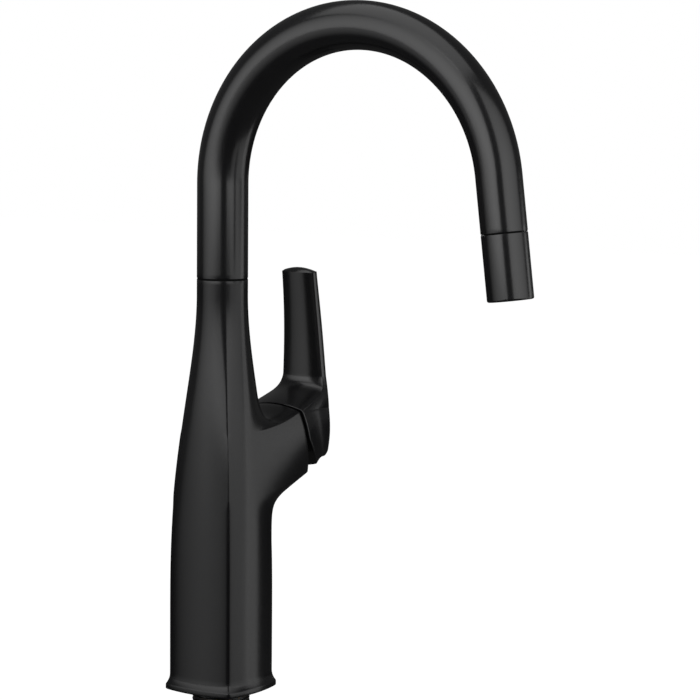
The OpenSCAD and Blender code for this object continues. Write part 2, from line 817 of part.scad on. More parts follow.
module stem_pivot_pin() {
    color("#9a9c9f")
        on_valve_axis()
            translate([0, 0, -pivot_depth])
                rotate([90, 0, 0])
                    cylinder(h = 2 * carrier_neck_r - 2.4, r = pivot_r, center = true);
}

stem_tail = 12.8;

module cartridge_stem() {
    color("#b8babd")
        on_valve_axis()
            difference() {
                translate([-stem_t / 2, -stem_w / 2, -pivot_depth - stem_tail])
                    cube([stem_t, stem_w, pivot_depth + stem_tail + stem_reach]);
                translate([0, 0, -pivot_depth])
                    rotate([90, 0, 0])
                        cylinder(h = 2 * stem_w, r = pivot_r + 0.05, center = true);
            }
}

nut_flange_r = 14.2;

// Ring nut with a hexagonal flange, screwed into the housing's mouth
module cartridge_nut() {
    color("#b08d4c")
        on_valve_axis()
            difference() {
                union() {
                    rod_between(cartridge_end, housing_end + 0.1, housing_bore_r - seat_gap);
                    translate([0, 0, housing_end])
                        cylinder(h = 2, r = nut_flange_r, $fn = 6);
                }
                rod_between(cartridge_end - over, 3, nut_bore_r);
            }
}

bonnet_t = 0.8;
bonnet_hole_r = 9.8;

// Thin cover over the nut, pushed into the branch's mouth
module cartridge_bonnet() {
    color("#0e0e0f")
        on_valve_axis()
            rotate_extrude()
                polygon([[branch_bore_r - seat_gap, -1.8], [branch_bore_r - seat_gap, 0.9],
                    [bonnet_hole_r, 3.2], [bonnet_hole_r, 3.2 - bonnet_t],
                    [branch_bore_r - bonnet_t, 0.9 - bonnet_t], [branch_bore_r - bonnet_t, -1.8]]);
}

// Lever. The hub's face leans away from the branch below the valve axis, so that the lever can tilt.
face_bend_v = 1;
function hub_face_u(v) = hub_gap + max(0, face_bend_v - v) * hub_face_slope;
function valve_point(u, v) = branch_end + u * along + v * across;
hub_high_v = branch_half_h - 0.2;
hub_low_v = -branch_half_h + 0.9;
hub_high = valve_point(hub_face_u(hub_high_v), hub_high_v);
hub_low = valve_point(hub_face_u(hub_low_v), hub_low_v);
back_root = [blade_root_x + blade_edge_root, blade_root_z];
back_high = [branch_x + 28.8, branch_z + 16.5];
back_low = [branch_x + 28, branch_z - 7.3];
back_low_w = branch_low_w - 1.6;
scoop = [[blade_root_x, blade_root_z], [blade_root_x, blade_root_z - 9.5],
    [blade_root_x - 7.9, blade_root_z - 9.4], hub_high];
blade_steps = 8;
scoop_steps = 9;
hub_steps = 8;
back_bow = 2.4;

// The blade leans to the body, so its outer edge ends higher than its inner edge
blade_lift = 0.4;
// Half width of the blade, which widens towards its root
function blade_half(t) = mix(blade_half_top, blade_half_root, pow(t, 1.6));
// The lever's rings, from its top down. Each is [inner face, outer face] in the form of bowed_ring.
function blade_faces(t) = let (w = blade_half(t))
    [[mix(blade_top_x, blade_root_x, t) + 0.7 * sin(180 * t), mix(blade_top_z, blade_root_z, t), w,
        -blade_bow, 0],
     [mix(blade_top_x + blade_edge_top, back_root[0], t) + 1.15 * sin(180 * t),
        mix(blade_top_z + blade_lift, blade_root_z, t), w, blade_bow, 0]];
function scoop_faces(t) = let (back = mix(back_root, back_high, t))
    [curve_face(scoop, t, mix(blade_half_root, rim_width(1) - 0.4, 1 - pow(1 - t, 1.25)),
        mix(blade_bow, branch_top_bow, t)),
     [back[0], back[1], mix(blade_half_root, back_low_w, 1 - pow(1 - t, 1.25)),
        mix(blade_bow, back_bow, t), 0]];
function hub_faces(t) = let (v = mix(hub_high_v, hub_low_v, t), p = valve_point(hub_face_u(v), v),
        lift = mix(branch_top_bow, -branch_under_bow, t))
    [[p[0], p[1], rim_width(v / branch_half_h) - 0.2, lift * across[0], lift * across[1]],
     [mix(back_high[0], back_low[0], pow(t, 4)), mix(back_high[1], back_low[1], t),
        back_low_w + 0.8 * sin(180 * t), back_bow, 0]];
function lever_ring(faces, bow) = bowed_ring(faces[0], [(faces[0][0] + faces[1][0]) / 2,
    (faces[0][1] + faces[1][1]) / 2, (faces[0][2] + faces[1][2]) / 2 + bow], faces[1],
    blade_half_root, blade_bow);
// The top of the blade is domed: its middle line stands above its corners
blade_dome = 1.8;
function cap_faces(t) = let (faces = blade_faces(0), rise = 1 - t * t)
    [for (face = faces) [mix((faces[0][0] + faces[1][0]) / 2, face[0], t), face[1] + 0.4 * rise,
        face[2] * (1 - 0.03 * rise), face[3] * t, mix(-0.5, blade_dome, rise)]];
function lever_rings() = reversed(concat(
    [for (t = [0.2, 0.5, 0.8, 0.95]) lever_ring(cap_faces(t), 0.1)],
    [for (i = [0 : blade_steps - 1]) lever_ring(blade_faces(i / blade_steps), 0.2)],
    [for (i = [0 : scoop_steps - 1]) let (t = i / scoop_steps) lever_ring(scoop_faces(t), mix(0.2, 0.9, t))],
    [for (i = [0 : hub_steps]) let (t = i / hub_steps) lever_ring(hub_faces(t), mix(0.9, 0.3, t))]));

post_start = 8;
screw_u = 11.5;
plug_t = 1.4;
plug_x = hub_hollow_r + 0.3;

module lever() {
    color("#1b1b1c")
        difference() {
            ring_skin(lever_rings());
            on_valve_axis() {
                difference() {
                    rod_between(-over, hub_hollow_u, hub_hollow_r);
                    rod_between(post_start, hub_hollow_u + over, post_r);
                }
                translate([-stem_t / 2 - seat_gap, -stem_w / 2 - seat_gap, post_start - over])
                    cube([stem_t + 2 * seat_gap, stem_w + 2 * seat_gap, stem_reach - post_start + over
                        + 0.2]);
                translate([0, 0, screw_u])
                    rotate([0, 90, 0])
                        cylinder(h = 30, r = set_screw_r + seat_gap);
            }
        }
}

module lever_set_screw() {
    color("#6f7174")
        on_valve_axis()
            translate([stem_t / 2, 0, screw_u])
                rotate([0, 90, 0])
                    difference() {
                        cylinder(h = 5, r = set_screw_r);
                        translate([0, 0, 2.6])
                            cylinder(h = 5, r = 1.3, $fn = 6);
                    }
}

module set_screw_plug() {
    color("#141415")
        on_valve_axis()
            translate([plug_x, 0, screw_u])
                rotate([0, 90, 0])
                    cylinder(h = plug_t, r = set_screw_r);
}

body_shell();
base_gasket();
mounting_shank();
deck_rubber_washer();
deck_steel_washer();
mounting_nut();
nut_jack_screws();
swivel_slip_ring();
upper_swivel_bush();
lower_swivel_bush();
valve_housing();
cartridge_seals();
cartridge_body();
fixed_ceramic_disc();
cartridge_nut();
cartridge_bonnet();
stem_carrier();
moving_ceramic_disc();
stem_pivot_pin();
cartridge_stem();
lever();
lever_set_screw();
set_screw_plug();
spout_tube();
swivel_sleeve();
sleeve_retaining_ring();
dock_collar();
dock_magnet();
spray_hose();
hose_tail_fitting();
spray_head_shell();
head_dock_ring();
hose_end_fitting();
hose_seal();
check_valve();
aerator_housing();
aerator_screen();
aerator_seal();
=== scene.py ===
import json

import bmesh
import bpy
import numpy as np
from mathutils import Matrix, Vector


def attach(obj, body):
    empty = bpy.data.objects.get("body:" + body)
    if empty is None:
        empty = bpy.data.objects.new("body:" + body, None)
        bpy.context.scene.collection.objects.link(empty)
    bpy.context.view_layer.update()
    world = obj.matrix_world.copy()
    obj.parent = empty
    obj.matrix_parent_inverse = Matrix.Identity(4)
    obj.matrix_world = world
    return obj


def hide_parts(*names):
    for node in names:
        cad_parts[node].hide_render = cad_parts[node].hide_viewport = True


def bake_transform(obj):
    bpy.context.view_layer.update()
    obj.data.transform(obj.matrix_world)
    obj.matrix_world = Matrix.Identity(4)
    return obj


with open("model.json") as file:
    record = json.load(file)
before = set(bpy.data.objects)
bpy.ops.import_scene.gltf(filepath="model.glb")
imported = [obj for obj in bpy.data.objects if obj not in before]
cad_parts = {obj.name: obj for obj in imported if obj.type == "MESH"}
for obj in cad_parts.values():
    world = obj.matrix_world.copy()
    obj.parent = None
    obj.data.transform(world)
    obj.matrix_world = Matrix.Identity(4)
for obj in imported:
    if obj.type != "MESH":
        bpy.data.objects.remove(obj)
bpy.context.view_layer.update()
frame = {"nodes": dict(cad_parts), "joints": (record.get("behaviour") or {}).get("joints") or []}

# Body casting
# One hollow brass casting: a square foot with bowed sides that turns into a round neck, and a branch
# that holds the valve. The castings are ground smooth and coated matte black. Lengths are in mm.
body_h = 228.6
foot_half = 20.7
side_bow = 3.1
taper_start = 40
taper_end = 220
taper_power = 1.5
lip_h = 2.8
flare_h = 6.4
flare_out = 1.7
leg_r = 14.1
neck_half = leg_r / np.sqrt(2)
branch_tilt = np.radians(17)
branch_end = np.array([53.2, 133.5])
branch_half_h = 18.5
branch_top_w = 19.2
branch_low_w = 17.5
branch_side_bow = 2.7
branch_top_bow = 3.4
branch_under_bow = 2.2
branch_low = 82
branch_high = 164
arris_soft = 4.4
neck_arris_soft = 0.8
rim_soft = 1.0
foot_soft = 0.6
seam_soft = 0.12


def mix(a, b, t):
    """a + (b - a) t."""
    return a + (b - a) * t


def ease(t):
    """u u (3 - 2 u), with u held between 0 and 1."""
    u = np.clip(t, 0, 1)
    return u * u * (3 - 2 * u)


def column(values):
    """Values of one kind, one for each ring, as a column."""
    return np.asarray(values, float).reshape(-1, 1)


def cubic(p, t):
    """Bezier curve through p[0] and p[3]: the sum of the four points times the Bernstein weights of t."""
    w = np.stack([(1 - t) ** 3, 3 * t * (1 - t) ** 2, 3 * t * t * (1 - t), t ** 3], -1)
    return w @ np.asarray(p, float)


def cubic_side(p, t):
    """Unit vector on the right-hand side of the curve: its derivative turned by a quarter turn."""
    p = np.asarray(p, float)
    w = np.stack([(1 - t) ** 2, 2 * t * (1 - t), t * t], -1)
    d = w @ (p[1:] - p[:-1])
    return np.stack([d[:, 1], -d[:, 0]], -1) / np.linalg.norm(d, axis=1)[:, None]


def arc_rise(q, half, bow):
    """Height of a circular arc over its chord, from 1 at q = 0 to 0 at q = -1 and 1."""
    r = (half * half + bow * bow) / (2 * bow)
    return (np.sqrt(r * r - (q * half) ** 2) - r + bow) / bow


def softened(before, corner, after, steps):
    """Points of a cubic Bezier curve from before to after, with both inner points on the corner, so that
    the bend sets in gently. The ends are left out."""
    t = np.linspace(0, 1, steps + 2)[1:-1].reshape((-1,) + (1,) * np.ndim(corner))
    return (1 - t) ** 3 * before + 3 * t * (1 - t) * corner + t ** 3 * after


def bowed_rings(left, middle, right, half, bow, soft, face_steps=30, corner_steps=10):
    """Rings round a square with bowed sides, as an array of rings, points and x, y, z. A face is
    (x, z, half width w, bow in x, bow in z), and its points are (x + bow_x f, w q, z + bow_z f), where
    q runs across it and f is the arc's height at q. A side runs from face to face at y = w f, over
    the middle (x, z, w). The four corners are softened over a length of soft."""
    left, right, middle = (np.asarray(a, float)[:, :, None] for a in (left, right, middle))
    half, bow, soft = column(half), column(bow), column(soft)
    cut = soft / half

    def face(f, q):
        rise = arc_rise(q, half, bow)
        return np.stack([f[:, 0] + f[:, 3] * rise, f[:, 2] * q, f[:, 1] + f[:, 4] * rise], -1)

    def side(y, s):
        rise, t = arc_rise(s, half, bow), np.abs(s)
        near = np.where(s[:, None] < 0, left[:, :3], right[:, :3])
        return np.stack([mix(middle[:, 0], near[:, 0], t), y * mix(near[:, 2], middle[:, 2], rise),
                         mix(middle[:, 1], near[:, 1], t * t)], -1)

    run = (1 - cut) * np.linspace(-1, 1, face_steps)
    ends = np.ones_like(cut)
    stretches = [face(left, -run), side(-1, run), face(right, run), side(1, -run)]
    corners = [face(left, -ends), face(right, -ends), face(right, ends), face(left, ends)]
    ring = []
    for k, corner in enumerate(corners):
        after = stretches[(k + 1) % 4]
        bend = softened(stretches[k][:, -1], corner[:, 0], after[:, 0], corner_steps)
        ring += [stretches[k], np.moveaxis(bend, 0, 1)]
    return np.concatenate(ring, 1)


def narrowing(z):
    """Ease of the height's share between the two taper heights, raised to the taper power."""
    return ease(np.clip((z - taper_start) / (taper_end - taper_start), 0, None) ** taper_power)


def body_half(z):
    """Half the side of the square: it goes from foot to neck as the body narrows, plus the flare."""
    flare = flare_out * np.clip(1 - np.clip(z - lip_h, 0, None) / flare_h, 0, None) ** 2.2
    return mix(foot_half, neck_half, narrowing(z)) + flare


def body_bow(z):
    """Bow of a side: at the neck it is what makes four arcs a circle."""
    return mix(side_bow, leg_r - neck_half, narrowing(z))


def arris(z):
    """Length over which the body's four edges are softened: less as it narrows to the round neck."""
    return mix(arris_soft, neck_arris_soft, narrowing(z))


across = np.array([-np.sin(branch_tilt), np.cos(branch_tilt)])
along = np.array([np.cos(branch_tilt), np.sin(branch_tilt)])
rim_low = branch_end - branch_half_h * across
rim_high = branch_end + branch_half_h * across
low_half, high_half = body_half(branch_low), body_half(branch_high)
underside = [[low_half, branch_low], [low_half, branch_low + 24.5],
             [low_half + 2.6, branch_low + 21.5], rim_low]
topside = [rim_high, rim_high - [7, 0.7], [high_half + 2.9, branch_high - 27], [high_half, branch_high]]
rim_low_drop = 6.5
rim_high_drop = 9


def rim_width(v):
    """Half width of the branch's end at v, from -1 at its low edge to 1 at its high edge, with a bow."""
    return mix(branch_low_w, branch_top_w, (v + 1) / 2) + branch_side_bow * (1 - v * v)


def curve_faces(p, t, w, bow):
    """Faces along a cubic curve: each bows by its bow on the right-hand side of the curve."""
    return np.hstack([cubic(p, t), column(w), column(bow) * cubic_side(p, t)])


def body_rings(z, faces, soft):
    """Rings of the body at the heights z on its axis, each with its own face towards the lever."""
    half, bow, zero = body_half(z), body_bow(z), 0 * z
    left = np.stack([-half, z, half, -bow, zero], 1)
    return bowed_rings(left, np.stack([zero, z, half + bow], 1), faces, half, bow, soft)


def plain_rings(z):
    """Rings of the body where it is a square with bowed sides all round."""
    half, bow = body_half(z), body_bow(z)
    return body_rings(z, np.stack([half, z, half, bow, 0 * z], 1), arris(z))


def underside_rings(t):
    """Rings with the lever's face on the curve of the branch's underside."""
    w = mix(low_half, branch_low_w, ease(t))
    faces = curve_faces(underside, t, w, mix(body_bow(branch_low), branch_under_bow, t))
    z = faces[:, 1] - rim_low_drop * t * t
    return body_rings(z, faces, mix(arris(z), rim_soft, t ** 3))


def rim_rings(t):
    """Rings with the lever's face in the plane of the branch's end, from its low to its high edge."""
    v = 2 * t - 1
    lift = np.where(v < 0, v * branch_under_bow, v * branch_top_bow)
    points = branch_end + column(v) * branch_half_h * across
    faces = np.hstack([points, column(rim_width(v)), column(lift) * across])
    return body_rings(faces[:, 1] - mix(rim_low_drop, rim_high_drop, t), faces, rim_soft + 0 * t)


def topside_rings(t):
    """Rings with the lever's face on the curve of the branch's top."""
    w = mix(branch_top_w, high_half, t * t)
    faces = curve_faces(topside, t, w, mix(branch_top_bow, body_bow(branch_high), t))
    z = faces[:, 1] - rim_high_drop * (1 - t) ** 2.5
    return body_rings(z, faces, mix(arris(z), rim_soft, (1 - t) ** 3))


def edge_between(before, corner, after, steps=4):
    """Rings of the softened edge between the last ring before it and the first one after it."""
    return softened(before[-1], corner[0], after[0], steps)


def ladder(ring, steps=12):
    """Straight lines across a ring, from its points on one side of the middle to those on the other."""
    n = len(ring)
    start = n - 1 - (n // 4 - 1) // 2
    i = np.arange(n // 2 + 1)
    a, b = ring[(start + i) % n], ring[(start - i) % n]
    t = np.linspace(0, 1, steps)[:, None, None]
    return mix(a, b, t)


def closed_piece(name, patches, material):
    """A piece from grids of points in mm. A grid is (points, True) where its columns close on themselves.
    Points that meet are merged, and the faces are turned outwards."""
    points, quads, start = [], [], 0
    for grid, wraps in patches:
        rows, cols = grid.shape[:2]
        index = start + np.arange(rows * cols).reshape(rows, cols)
        if wraps:
            index = np.hstack([index, index[:, :1]])
        quad = np.stack([index[:-1, :-1], index[:-1, 1:], index[1:, 1:], index[1:, :-1]], -1)
        quads.append(quad.reshape(-1, 4))
        points.append(grid.reshape(-1, 3))
        start += rows * cols
    mesh = bpy.data.meshes.new(name)
    mesh.from_pydata(np.concatenate(points) * 0.001, [], np.concatenate(quads).tolist())
    tidy = bmesh.new()
    tidy.from_mesh(mesh)
    bmesh.ops.remove_doubles(tidy, verts=tidy.verts, dist=2e-6)
    bmesh.ops.dissolve_degenerate(tidy, edges=tidy.edges, dist=1e-7)
    bmesh.ops.recalc_face_normals(tidy, faces=tidy.faces)
    tidy.to_mesh(mesh)
    tidy.free()
    piece = bpy.data.objects.new(name, mesh)
    bpy.context.scene.collection.objects.link(piece)
    finish_surface(piece, material)
    return piece


def finish_surface(piece, material):
    """Smooth shading with sharp edges where faces meet at over 38 degrees, and the material."""
    piece.data.shade_smooth()
    piece.data.set_sharp_from_angle(angle=np.radians(38))
    piece.data.materials.clear()
    piece.data.materials.append(material)


def upright(p):
    """Points that stay where they are: x, y, z of the row frame in mm."""
    return p


def on_valve_axis(p):
    """Points whose z runs out along the valve axis from the middle of the branch's end, and whose x
    points down in the plane of that end."""
    x, y, z = np.moveaxis(p, -1, 0)
    out, up = (branch_end[k] + z * along[k] - x * across[k] for k in (0, 1))
    return np.stack([out, y, up], -1)


def soften_outline(outline, soft, steps=4):
    """Each corner of a closed outline becomes a quadratic Bezier curve, which starts and ends at most
    soft away from it."""
    p = np.asarray(outline, float)
    back, ahead = np.roll(p, 1, 0) - p, np.roll(p, -1, 0) - p
    lengths = [np.linalg.norm(d, axis=1)[:, None] for d in (back, ahead)]
    a, b = (p + d / n * np.minimum(soft, 0.45 * n) for d, n in zip((back, ahead), lengths))
    t = np.linspace(0, 1, steps + 1)[:, None, None]
    return np.moveaxis((1 - t) ** 2 * a + 2 * t * (1 - t) * p + t * t * b, 0, 1).reshape(-1, 2)


def around_z(r, z, around):
    """Points spaced evenly round Z, at radius r and height z: (r cos a, r sin a, z)."""
    a = np.linspace(0, 2 * np.pi, around, endpoint=False)
    return np.stack(np.broadcast_arrays(r * np.cos(a), r * np.sin(a), z), -1)


def turned_grid(outline, place, around=96):
    """A closed outline of (radius, height) turned round Z, then put in place."""
    r, z = np.append(outline, outline[:1], 0).T[:, :, None]
    return place(around_z(r, z, around))


def turned(name, outline, place, material, soft=0.25, around=96):
    """A turned piece. Where its outline lies on the axis, the corners stay there."""
    profile = soften_outline(outline, soft)
    profile[profile[:, 0] < 1e-6, 0] = 0
    return closed_piece(name, [(turned_grid(profile, place, around), True)], material)


def cut_out(piece, tools, material):
    """The piece less the tools, which are then deleted."""
    for tool in tools:
        step = piece.modifiers.new("cut", "BOOLEAN")
        step.object, step.operation, step.solver = tool, "DIFFERENCE", "EXACT"
    shaped = bpy.data.meshes.new_from_object(piece.evaluated_get(bpy.context.evaluated_depsgraph_get()))
    piece.modifiers.clear()
    piece.data = shaped
    for tool in tools:
        bpy.data.objects.remove(tool)
    finish_surface(piece, material)


def settle(piece, body_name, slot_name, *nodes):
    """The piece stands for its CAD nodes and moves with their body. slot_name is not used."""
    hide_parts(*nodes)
    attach(piece, body_name)


def linear(code):
    """An sRGB hex colour as linear RGBA: ((c + 0.055) / 1.055) ^ 2.4, or c / 12.92 where c is dark."""
    c = np.array([int(code[i:i + 2], 16) for i in (1, 3, 5)]) / 255
    return (*np.where(c > 0.04045, ((c + 0.055) / 1.055) ** 2.4, c / 12.92), 1)


def add(tree, kind, settings=(), **links):
    """A node with its settings and its inputs. An input is a value or another node's output socket, and
    its name has _ for a space. An input that shares its name with another is given as its number."""
    node = tree.nodes.new(kind)
    for name, value in dict(settings).items():
        setattr(node, name, value)
    for name, value in links.items():
        key = int(name[1:]) if name[1:].isdigit() else name.replace("_", " ")
        socket = node.inputs[key]
        if isinstance(value, bpy.types.NodeSocket):
            tree.links.new(value, socket)
        else:
            socket.default_value = value
    return node


def new_material(name):
    """An empty node material, its tree, and the row frame's coordinates in metres."""
    material = bpy.data.materials.new(name)
    material.use_nodes = True
    material.node_tree.nodes.clear()
    tree = material.node_tree
    return material, tree, add(tree, "ShaderNodeTexCoord").outputs["Object"]


def surface(tree, height, relief, depth_mm, **inputs):
    """The shader that every finish ends in. Its normal follows a height that stands for up to depth_mm,
    by a share of relief."""
    bump = add(tree, "ShaderNodeBump", Height=height, Strength=relief, Distance=depth_mm / 1000)
    shader = add(tree, "ShaderNodeBsdfPrincipled", Normal=bump.outputs["Normal"], **inputs)
    add(tree, "ShaderNodeOutputMaterial", Surface=shader.outputs["BSDF"])


def shades(tree, factor, low, high):
    """Colour between two hex colours, by a factor."""
    ramp = add(tree, "ShaderNodeValToRGB", Fac=factor)
    ramp.color_ramp.elements[0].color = linear(low)
    ramp.color_ramp.elements[1].color = linear(high)
    return ramp.outputs["Color"]


def grain_of(tree, place, size_mm, detail=2.0):
    """Noise whose grains are about size_mm wide."""
    return add(tree, "ShaderNodeTexNoise", Vector=place, Scale=1000 / size_mm, Detail=detail).outputs["Fac"]


def levels(tree, factor, low, high):
    """Number between low and high, by a factor that runs from 0.3 to 0.7, as noise does."""
    spread = add(tree, "ShaderNodeMapRange", i0=factor, i1=0.3, i2=0.7, i3=low, i4=high)
    return spread.outputs["Result"]


def black_coat(name, shine):
    """Electrophoretic black coat, baked on brass: a fine satin skin with soft highlights. The skin's real
    grain is 0.1 mm and is drawn at 0.9 mm, so that it shows."""
    material, tree, place = new_material(name)
    grain = grain_of(tree, place, 0.9, 3.0)
    flow = grain_of(tree, place, 14)
    surface(tree, grain, 0.05, 0.1, Base_Color=shades(tree, flow, "#101011", "#151516"),
            Roughness=levels(tree, grain, 0.18, 0.23), Specular_IOR_Level=shine)
    return material


# The coat is duller over the body's ground skin than over the polished spout, lever and head.
coat = black_coat("black_electrocoat", 0.5)
dull_coat = black_coat("black_electrocoat_on_casting", 0.36)
foot_round = np.linspace(0, np.pi / 2, 6)
foot_z = np.concatenate([foot_soft * (1 - np.cos(foot_round)), [lip_h * 0.6, lip_h - foot_soft],
                         mix(lip_h, lip_h + flare_h, np.linspace(0.02, 1, 14)),
                         np.linspace(lip_h + flare_h + 2, branch_low - 2, 24)])
foot_rings = plain_rings(foot_z)
shrink = np.concatenate([foot_soft * (1 - np.sin(foot_round)), np.zeros(len(foot_rings) - len(foot_round))])
foot_rings[:, :, :2] *= (1 - shrink / foot_half)[:, None, None]
neck_z = np.linspace(branch_high + 1, body_h - seam_soft, 34)
top_round = body_h - seam_soft * (1 - np.sin(foot_round))
neck_rings = plain_rings(np.concatenate([neck_z, top_round[1:]]))
shrink = np.concatenate([np.zeros(len(neck_z)), seam_soft * (1 - np.cos(foot_round[1:]))])
neck_rings[:, :, :2] *= (1 - shrink / leg_r)[:, None, None]
edge = rim_soft / (2 * branch_half_h)
under = underside_rings(np.linspace(0, 1 - 0.012, 40))
end = rim_rings(np.linspace(edge, 1 - edge, 30))
over = topside_rings(np.linspace(0.012, 1, 40))
low_edge = edge_between(under, rim_rings(np.zeros(1)), end)
high_edge = edge_between(end, rim_rings(np.ones(1)), over)
outside = np.concatenate([foot_rings, under, low_edge, end, high_edge, over, neck_rings])
body_ends = [(ladder(outside[0]), False), (ladder(outside[-1]), False)]
body = closed_piece("body_casting", [(outside, True), *body_ends], dull_coat)

shank_r = 16
seat_gap = 0.05
shank_seat = 16
hollow_r = 17.2
hollow_top = 92
sleeve_r = 10.4
sleeve_depth = 42
bush_gap = 0.05
bush_wall = 1.65
body_bore_r = sleeve_r + bush_gap + bush_wall + seat_gap
shoulder_z = body_h - sleeve_depth + 3
gasket_in_r = shank_r + 0.6
gasket_out_r = foot_half - 0.6
gasket_t = 2
housing_r = 15
mouth_r = housing_r + 0.2
bore_chamfer = 0.4
passage = [[0, -1], [shank_r + seat_gap, -1], [shank_r + seat_gap, shank_seat], [hollow_r, shank_seat],
           [hollow_r, hollow_top], [body_bore_r - 0.6, hollow_top], [body_bore_r - 0.6, shoulder_z],
           [body_bore_r, shoulder_z], [body_bore_r, body_h - bore_chamfer],
           [body_bore_r + bore_chamfer + 1, body_h + 1], [0, body_h + 1]]
recess_r = gasket_out_r + seat_gap
recess_h = gasket_t + seat_gap
recess = [[shank_r - 1, -1], [recess_r, -1], [recess_r, recess_h], [shank_r - 1, recess_h]]
branch_bore = [[0, -44], [mouth_r, -44], [mouth_r, -bore_chamfer], [mouth_r + bore_chamfer + 1, 1], [0, 1]]
cut_out(body, [turned("passage", passage, upright, coat, 0), turned("recess", recess, upright, coat, 0),
               turned("branch_bore", branch_bore, on_valve_axis, coat, 0)], dull_coat)
settle(body, "faucet_body", "black_finish", "body_shell")


# Base gasket
# A flat ring of black rubber in the recess of the foot. It seals the foot against the deck.
def black_rubber():
    """Nitrile rubber, moulded: dull, with a faint grey bloom in patches of about 5 mm."""
    material, tree, place = new_material("nitrile_rubber")
    bloom = grain_of(tree, place, 5)
    pores = grain_of(tree, place, 0.7, 4.0)
    surface(tree, pores, 0.25, 0.2, Base_Color=shades(tree, bloom, "#161617", "#262627"),
            Roughness=levels(tree, bloom, 0.62, 0.78))
    return material


rubber = black_rubber()


def ring_outline(r_in, r_out, low, high):
    """The cross-section of a plain ring: a rectangle between two radii and two heights."""
    return [[r_in, low], [r_out, low], [r_out, high], [r_in, high]]


gasket = turned("foot_gasket", ring_outline(gasket_in_r, gasket_out_r, 0, gasket_t), upright, rubber)
settle(gasket, "faucet_body", "rubber", "base_gasket")


# Mounting shank
# A length of brass pipe that is screwed into the body's foot and passes through the deck. Its thread
# is cut all along, with a pitch of 1.5 mm, and is drawn at 2 mm so that the turns show. It is coated
# black with the body, and the nut has rubbed the coat from its crests.
shank_len = 62
shank_bore_r = 12.5
shank_pitch = 2.0


def turned_brass(name, lean=0.0, spin=0.0):
    """Free-cutting brass, turned on a lathe: fine rings round the axis that stretch its highlights.
    The real rings are 0.05 mm wide and are drawn at 0.5 mm. lean and spin turn the rings' axis."""
    material, tree, place = new_material(name)
    level = add(tree, "ShaderNodeMapping", Vector=place, Rotation=(lean, spin, 0), Scale=(0.02, 0.02, 1))
    rings = grain_of(tree, level.outputs["Vector"], 0.5, 1.0)
    tarnish = grain_of(tree, place, 9)
    surface(tree, rings, 0.12, 0.1, Base_Color=shades(tree, tarnish, "#b08c50", "#c9a768"),
            Metallic=1.0, Roughness=levels(tree, rings, 0.26, 0.38))
    return material


brass = turned_brass("free_cutting_brass")


def maths(tree, operation, *values):
    """One step of arithmetic on numbers or sockets."""
    links = {f"i{k}": value for k, value in enumerate(values)}
    return add(tree, "ShaderNodeMath", dict(operation=operation), **links).outputs[0]


def rubbed_coat():
    """The body's coat on a screw thread. Within 0.1 mm of the crests, flecks of 1 mm are rubbed down to
    dull brass: the distance from Z is the root of x x + y y."""
    material, tree, place = new_material("rubbed_electrocoat")
    flat = add(tree, "ShaderNodeVectorMath", dict(operation="MULTIPLY"), i0=place, i1=(1, 1, 0))
    radius = add(tree, "ShaderNodeVectorMath", dict(operation="LENGTH"), i0=flat.outputs["Vector"])
    crest = add(tree, "ShaderNodeMapRange", i0=radius.outputs["Value"], i1=0.001 * shank_r - 0.0001,
                i2=0.001 * shank_r)
    flecks = add(tree, "ShaderNodeMapRange", i0=grain_of(tree, place, 1.0), i1=0.52, i2=0.62)
    worn = maths(tree, "MULTIPLY", crest.outputs["Result"], flecks.outputs["Result"])
    surface(tree, worn, 0.2, 0.1, Base_Color=shades(tree, worn, "#101011", "#5c4d33"),
            Metallic=worn, Roughness=0.4)
    return material


def thread_grid(r_crest, depth, pitch, low, high, place, around=72, per_turn=8):
    """The side of a screw: r = crest - depth w, where w is a wave, held between 0 and 1, of the height
    less the angle's share of a pitch. At both ends it fades into the root."""
    z = column(np.linspace(low, high, int((high - low) / pitch * per_turn) + 1))
    turns = np.linspace(0, 1, around, endpoint=False)
    wave = np.clip(0.5 + 0.8 * np.cos(2 * np.pi * (z / pitch - turns)), 0, 1)
    fade = ease(np.minimum(z - low, high - z) / pitch)
    return place(around_z(r_crest - depth * mix(1, wave, fade), z, around))


def disc(outer_r, inner_r, z, place, around=72):
    """The flat end of a screw: two circles at one height."""
    return place(around_z(column([outer_r, inner_r]), z, around))


thread_depth = 0.9
root_r = shank_r - thread_depth
shank_top = shank_seat - seat_gap
shank = closed_piece("deck_shank", [
    (thread_grid(shank_r, thread_depth, shank_pitch, -shank_len, shank_top, upright), True),
    (disc(root_r, shank_bore_r, -shank_len, upright), True),
    (disc(root_r, shank_bore_r, shank_top, upright), True),
    (turned_grid([[shank_bore_r, -shank_len], [shank_bore_r, shank_top]], upright, 72)[:2], True)],
    rubbed_coat())
settle(shank, "faucet_body", "black_finish", "mounting_shank")


# Deck washers
# A rubber ring and a steel ring that spread the nut's force on the underside of the deck.
deck_t = 20
rubber_t = 3
steel_t = 2
washer_r = 28
washer_bore_r = shank_r + 0.25


def stainless(name):
    """Stainless steel sheet and wire, brushed: a grey mirror blurred along its scratches, which are
    drawn 0.6 mm wide."""
    material, tree, place = new_material(name)
    stretch = add(tree, "ShaderNodeMapping", Vector=place, Scale=(1, 0.05, 1))
    scratches = grain_of(tree, stretch.outputs["Vector"], 0.6, 2.0)
    surface(tree, scratches, 0.12, 0.1, Base_Color=shades(tree, scratches, "#9c9ea1", "#b4b6b9"),
            Metallic=1.0, Roughness=levels(tree, scratches, 0.28, 0.42))
    return material


